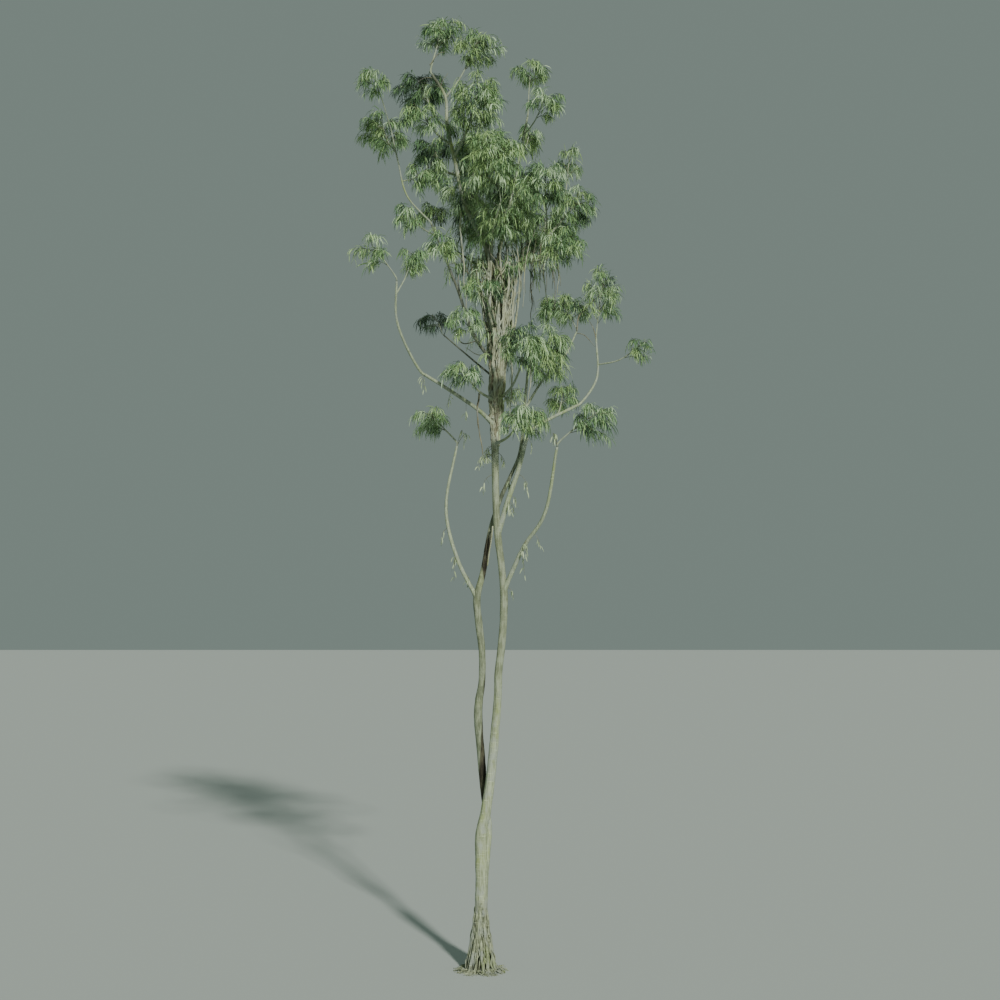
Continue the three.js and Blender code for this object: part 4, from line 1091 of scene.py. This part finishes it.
def bark_material(name, light, dark, moss, moss_from=0.56, bands=()):
    """Pale fig bark: streaks along it, patches of green growth, light broken rings across it, dark pits,
    and over some heights the darker ground and streaks of a band, several of which are painted shade and
    painted shadow."""
    material, tree, shader = material_named(name, Specular_IOR_Level=0.25)
    streaks = noise_at(tree, (1, 1, 0.1), 38, 5)
    patches = noise_at(tree, (1, 1, 0.4), 2.6, 5, 0.6)
    blotches = noise_at(tree, (1, 1, 0.6), 7, 4)
    rings = noise_at(tree, (0.5, 0.5, 7), 9, 4)
    grain = noise_at(tree, (1, 1, 1), 120, 3)
    colour = mixed(tree, between(tree, streaks, 0.35, 0.62), dark, light)
    grey = tuple(sum(light) / 3 * share for share in (0.86, 0.98, 0.86))
    colour = mixed(tree, between(tree, blotches, 0.48, 0.62, 0, 0.65), colour, grey)
    colour = mixed(tree, between(tree, patches, moss_from, moss_from + 0.12, 0, 0.8), colour, moss)
    pale = tuple(min(1, c * 1.5) for c in light)
    colour = mixed(tree, between(tree, rings, 0.6, 0.7, 0, 0.7), colour, pale)
    colour = mixed(tree, between(tree, grain, 0.3, 0.44, 0.55, 0), colour, dark)
    mottling = calculated(tree, "MULTIPLY", calculated(tree, "ADD", streaks, blotches), 0.5)
    for band in bands:
        banded = mixed(tree, between(tree, mottling, 0.44, 0.56), band.ground, band.streak)
        colour = mixed(tree, share_of_band(tree, band), colour, banded)
    tree.links.new(colour, shader.inputs["Base Color"])
    tree.links.new(between(tree, grain, 0.3, 0.7, 0.95, 0.72), shader.inputs["Roughness"])
    height = calculated(tree, "ADD", calculated(tree, "ADD", streaks, rings), grain)
    add_bump(tree, shader, 0.8, 0.008, height)
    return material


def leaf_material(name, first, second):
    """A leaf: its shade varies over the spray, with fine veins, and it has a soft gloss."""
    material, tree, shader = material_named(name, Specular_IOR_Level=0.45)
    spray = noise_at(tree, (1, 1, 1), 3.5, 3)
    fine = noise_at(tree, (1, 1, 1), 55, 4)
    colour = mixed(tree, between(tree, spray, 0.35, 0.65), first, second)
    pale = tuple(min(1, c * 1.3) for c in second)
    colour = mixed(tree, between(tree, fine, 0.52, 0.7, 0, 0.5), colour, pale)
    tree.links.new(colour, shader.inputs["Base Color"])
    tree.links.new(between(tree, fine, 0.3, 0.7, 0.42, 0.62), shader.inputs["Roughness"])
    add_bump(tree, shader, 0.25, 0.002, fine)
    return material


# Bark: the light and dark of its streaks, its green growth, and the value of the patches' noise
# from which that shows
STEM_COLOURS = [(0.385, 0.445, 0.295), (0.2, 0.235, 0.14), (0.3, 0.37, 0.11), 0.54]
# Near-black ground and streak of the trunk's painted shadow on the second stem
TRUNK_SHADOW_COLOURS = ((0.022, 0.02, 0.013), (0.075, 0.075, 0.045))
TRUNK_BANDS = [
    Band(-1, 1.5, 0.7, (0.06, 0.055, 0.036), (0.17, 0.17, 0.115)),  # the foot: painted shade on the trunk between the roots
    Band(4.6, 11.4, 1.6, (0.14, 0.165, 0.1), (0.265, 0.31, 0.205), 0.75),  # the bare middle: darker mottled bark, partly painted shade
    Band(10.7, 15.6, 0.7, (0.14, 0.12, 0.075), (0.38, 0.42, 0.29)),  # inside the aerial roots
    Band(18.75, 21, 0.2, (0.07, 0.08, 0.055), (0.14, 0.16, 0.11)),  # the tip: painted shade, darker bark where it runs through the top of the crown
]
SECOND_BANDS = [
    Band(3.4, 11, 0.8, (0.1, 0.12, 0.075), (0.24, 0.28, 0.185), 0.75),  # the bare middle: darker mottled bark, partly painted shade
    Band(9, 12.4, 1, (0.05, 0.06, 0.04), (0.27, 0.31, 0.21), 0.7),  # the upper part: darker bark, partly painted shade under the crown
    Band(7.8, 9.25, 0.3, *TRUNK_SHADOW_COLOURS, line=(-0.164, 1.37)),  # painted shadow of the trunk, where the second stem crosses behind it
    Band(3, 6.2, 0.3, *TRUNK_SHADOW_COLOURS, line=(0.055, -0.283)),  # painted shadow of the trunk on the second stem's side that faces it, in the hollow between the two stems
]
BARKS = {name: bark_material(f"{name}_bark", *colours) for name, colours in {
    "trunk": [*STEM_COLOURS, TRUNK_BANDS],
    "second": [*STEM_COLOURS, SECOND_BANDS],
    "bough": [(0.355, 0.42, 0.28), (0.19, 0.23, 0.145), (0.26, 0.33, 0.12), 0.57],
    # painted shade: darker bark for the boughs in the crown's shade
    "shaded": [(0.15, 0.17, 0.12), (0.06, 0.07, 0.045), (0.13, 0.17, 0.08)],
    "root": [(0.36, 0.41, 0.265), (0.055, 0.062, 0.036), (0.26, 0.33, 0.13), 0.56],
    "aerial": [(0.44, 0.48, 0.33), (0.2, 0.21, 0.13), (0.33, 0.38, 0.17), 0.58],
    "hanging": [(0.26, 0.26, 0.17), (0.08, 0.068, 0.04), (0.2, 0.23, 0.1), 0.55],
    "twig": [(0.2, 0.21, 0.14), (0.07, 0.07, 0.045), (0.15, 0.19, 0.07), 0.5],
}.items()}


# Pieces

def make_bark(name, bark, *parts):
    """The surface of a stem or bough, from each limb in it with its relief and seed."""
    pile = Pile()
    for limb, relief, seed in parts:
        add_bark(pile, limb, *relief, seed)
    pile.make(f"{name}_bark", BARKS[bark], "bark", [name])


def make_stems():
    foot = limb_from_heights(SECOND_FOOT)
    make_bark("trunk", "trunk", (trunk, TRUNK_RELIEF, 1), (foot, SECOND_FOOT_RELIEF, 2))
    make_bark("second_stem", "second", (limbs["second_stem"], SECOND_RELIEF, 3))
    for i, name in enumerate(BOUGHS):
        bark = "shaded" if name in SHADED_BOUGHS else "bough"
        make_bark(name, bark, (limbs[name], BOUGH_RELIEF, 10 + i))


def make_prop_roots(props, random):
    """The skirt of roots at the foot, thick and fine, crossing over each other."""
    pile = Pile()
    for i, root in enumerate(props):
        add_root(pile, root, "prop", i)
    for i in range(FINE_PROP_ROOTS):
        root = prop_root(turn_of(i, FINE_PROP_ROOTS, random.uniform(0, 0.8)), random.random)
        root.radii = root.radii * random.uniform(*FINE_PROP_THICKNESS)
        add_root(pile, root, "fine_prop", i)
    pile.make("prop_roots", BARKS["root"], "bark")


def make_surface_roots(random):
    """Short roots all round that run out over the ground."""
    pile = Pile()
    for i in range(SURFACE_ROOTLETS):
        turn = turn_of(i, SURFACE_ROOTLETS, random.uniform(0, 0.9))
        add_root(pile, surface_root(turn, random), "surface", i)
    pile.make("surface_roots", BARKS["root"], "bark")


def make_aerial_roots(aerials, random):
    """The bundle of roots round the middle of the trunk, and thin ones that hang free."""
    pale, brown = Pile(), Pile()
    for i, root in enumerate(aerials):
        add_root(pale, root, "aerial", i)
    for i in range(FINE_AERIAL_ROOTS):
        turn = turn_of(i, FINE_AERIAL_ROOTS, random.uniform(0, 0.9))
        # one in so many is brown, and on the left side more are: painted shade
        brown_or_painted_shade = i % BROWN_EVERY == 0 or (math.cos(turn) < PAINTED_SHADE_SIDE and i % 2 == 0)
        add_root(brown if brown_or_painted_shade else pale, tangled_root(turn, random), "tangled", i)
    for pile, rows in ((pale, PALE_HANGING_ROOTS), (brown, DARK_HANGING_ROOTS), (brown, BARE_BRANCHES)):
        for i, (*line, radius) in enumerate(rows):
            add_root(pile, limb_along(line, values_along(radius, [1, 0.9, 0.7, 0.45])), "hanging", i)
    for i in range(THREAD_ROOTS):
        add_root(brown, thread_root(random), "thread", i)
    pale.make("aerial_roots", BARKS["aerial"], "bark")
    brown.make("inner_aerial_roots", BARKS["hanging"], "bark")


def make_crown(aerials, random):
    """Stems, branches, twigs and leaves of all the masses, and what grows straight from the limbs."""
    piles = {"stems": Pile(), "branches": Pile(), "twigs": Pile(), "leaves": [Pile() for _ in LEAF_SHADES]}
    in_the_way = [*limbs.values(), *aerials]
    limb_points = np.vstack([limb.points[::2] for limb in in_the_way])
    limb_radii = np.concatenate([limb.radii[::2] for limb in in_the_way])
    for index, name in enumerate(FOLIAGE):
        grow_mass(index, name, piles, limb_points, limb_radii)
    grow_limb_sprays(piles, random)
    for kind, bark in (("stems", "bough"), ("branches", "twig"), ("twigs", "twig")):
        piles[kind].make(f"foliage_{kind}", BARKS[bark], "bark", FOLIAGE_NODES)
    for pile, (shade, colours) in zip(piles["leaves"], LEAF_SHADES.items()):
        material = leaf_material(f"leaf_{shade}", *colours)
        pile.make(f"leaves_{shade}", material, "leaves", FOLIAGE_NODES)


def make_wisps(random):
    strings, leaves = Pile(), Pile()
    grow_wisps(strings, leaves, random)
    strings.make("wisp_strings", BARKS["hanging"], "bark")
    leaves.make("withered_leaves", leaf_material("withered_leaf", *WITHERED_COLOURS), "leaves")


def make_studio():
    """A plain pale floor under an even pale sky, with soft sunlight from the front and right."""
    mesh = bpy.data.meshes.new("floor")
    corners = [(x * FLOOR_REACH, y * FLOOR_REACH, 0) for x, y in ((-1, -1), (1, -1), (1, 1), (-1, 1))]
    mesh.from_pydata(corners, [], [(0, 1, 2, 3)])
    material, _, shader = material_named("floor", Roughness=0.9, Specular_IOR_Level=0.2)
    shader.inputs["Base Color"].default_value = FLOOR_COLOUR
    mesh.materials.append(material)
    add_to_scene("floor", mesh)

    world = bpy.data.worlds.new("studio")
    world.use_nodes = True
    sky = world.node_tree.nodes["Background"]
    sky.inputs["Color"].default_value = SKY_COLOUR
    sky.inputs["Strength"].default_value = SKY_STRENGTH
    bpy.context.scene.world = world

    sun = add_to_scene("sun", bpy.data.lights.new("sun", "SUN"))
    sun.data.energy = SUN_STRENGTH
    sun.data.angle = math.radians(SUN_SOFTNESS)
    sun.data.color = SUN_COLOUR
    sun.rotation_euler = (math.radians(90 - SUN_HEIGHT), 0, math.radians(SUN_TURN))

    camera = add_to_scene("camera", bpy.data.cameras.new("camera"))
    camera.location = CAMERA_PLACE
    camera.rotation_euler = (math.radians(90 + CAMERA_PITCH), 0, 0)
    camera.data.lens = CAMERA_LENS
    camera.data.sensor_width = SENSOR
    camera.data.clip_end = FLOOR_REACH * 3
    bpy.context.scene.camera = camera


props, aerials = main_roots()
make_stems()
make_prop_roots(props, np.random.default_rng(7))
make_surface_roots(np.random.default_rng(8))
make_aerial_roots(aerials, np.random.default_rng(9))
make_crown(aerials, np.random.default_rng(10))
make_wisps(np.random.default_rng(11))
make_studio()
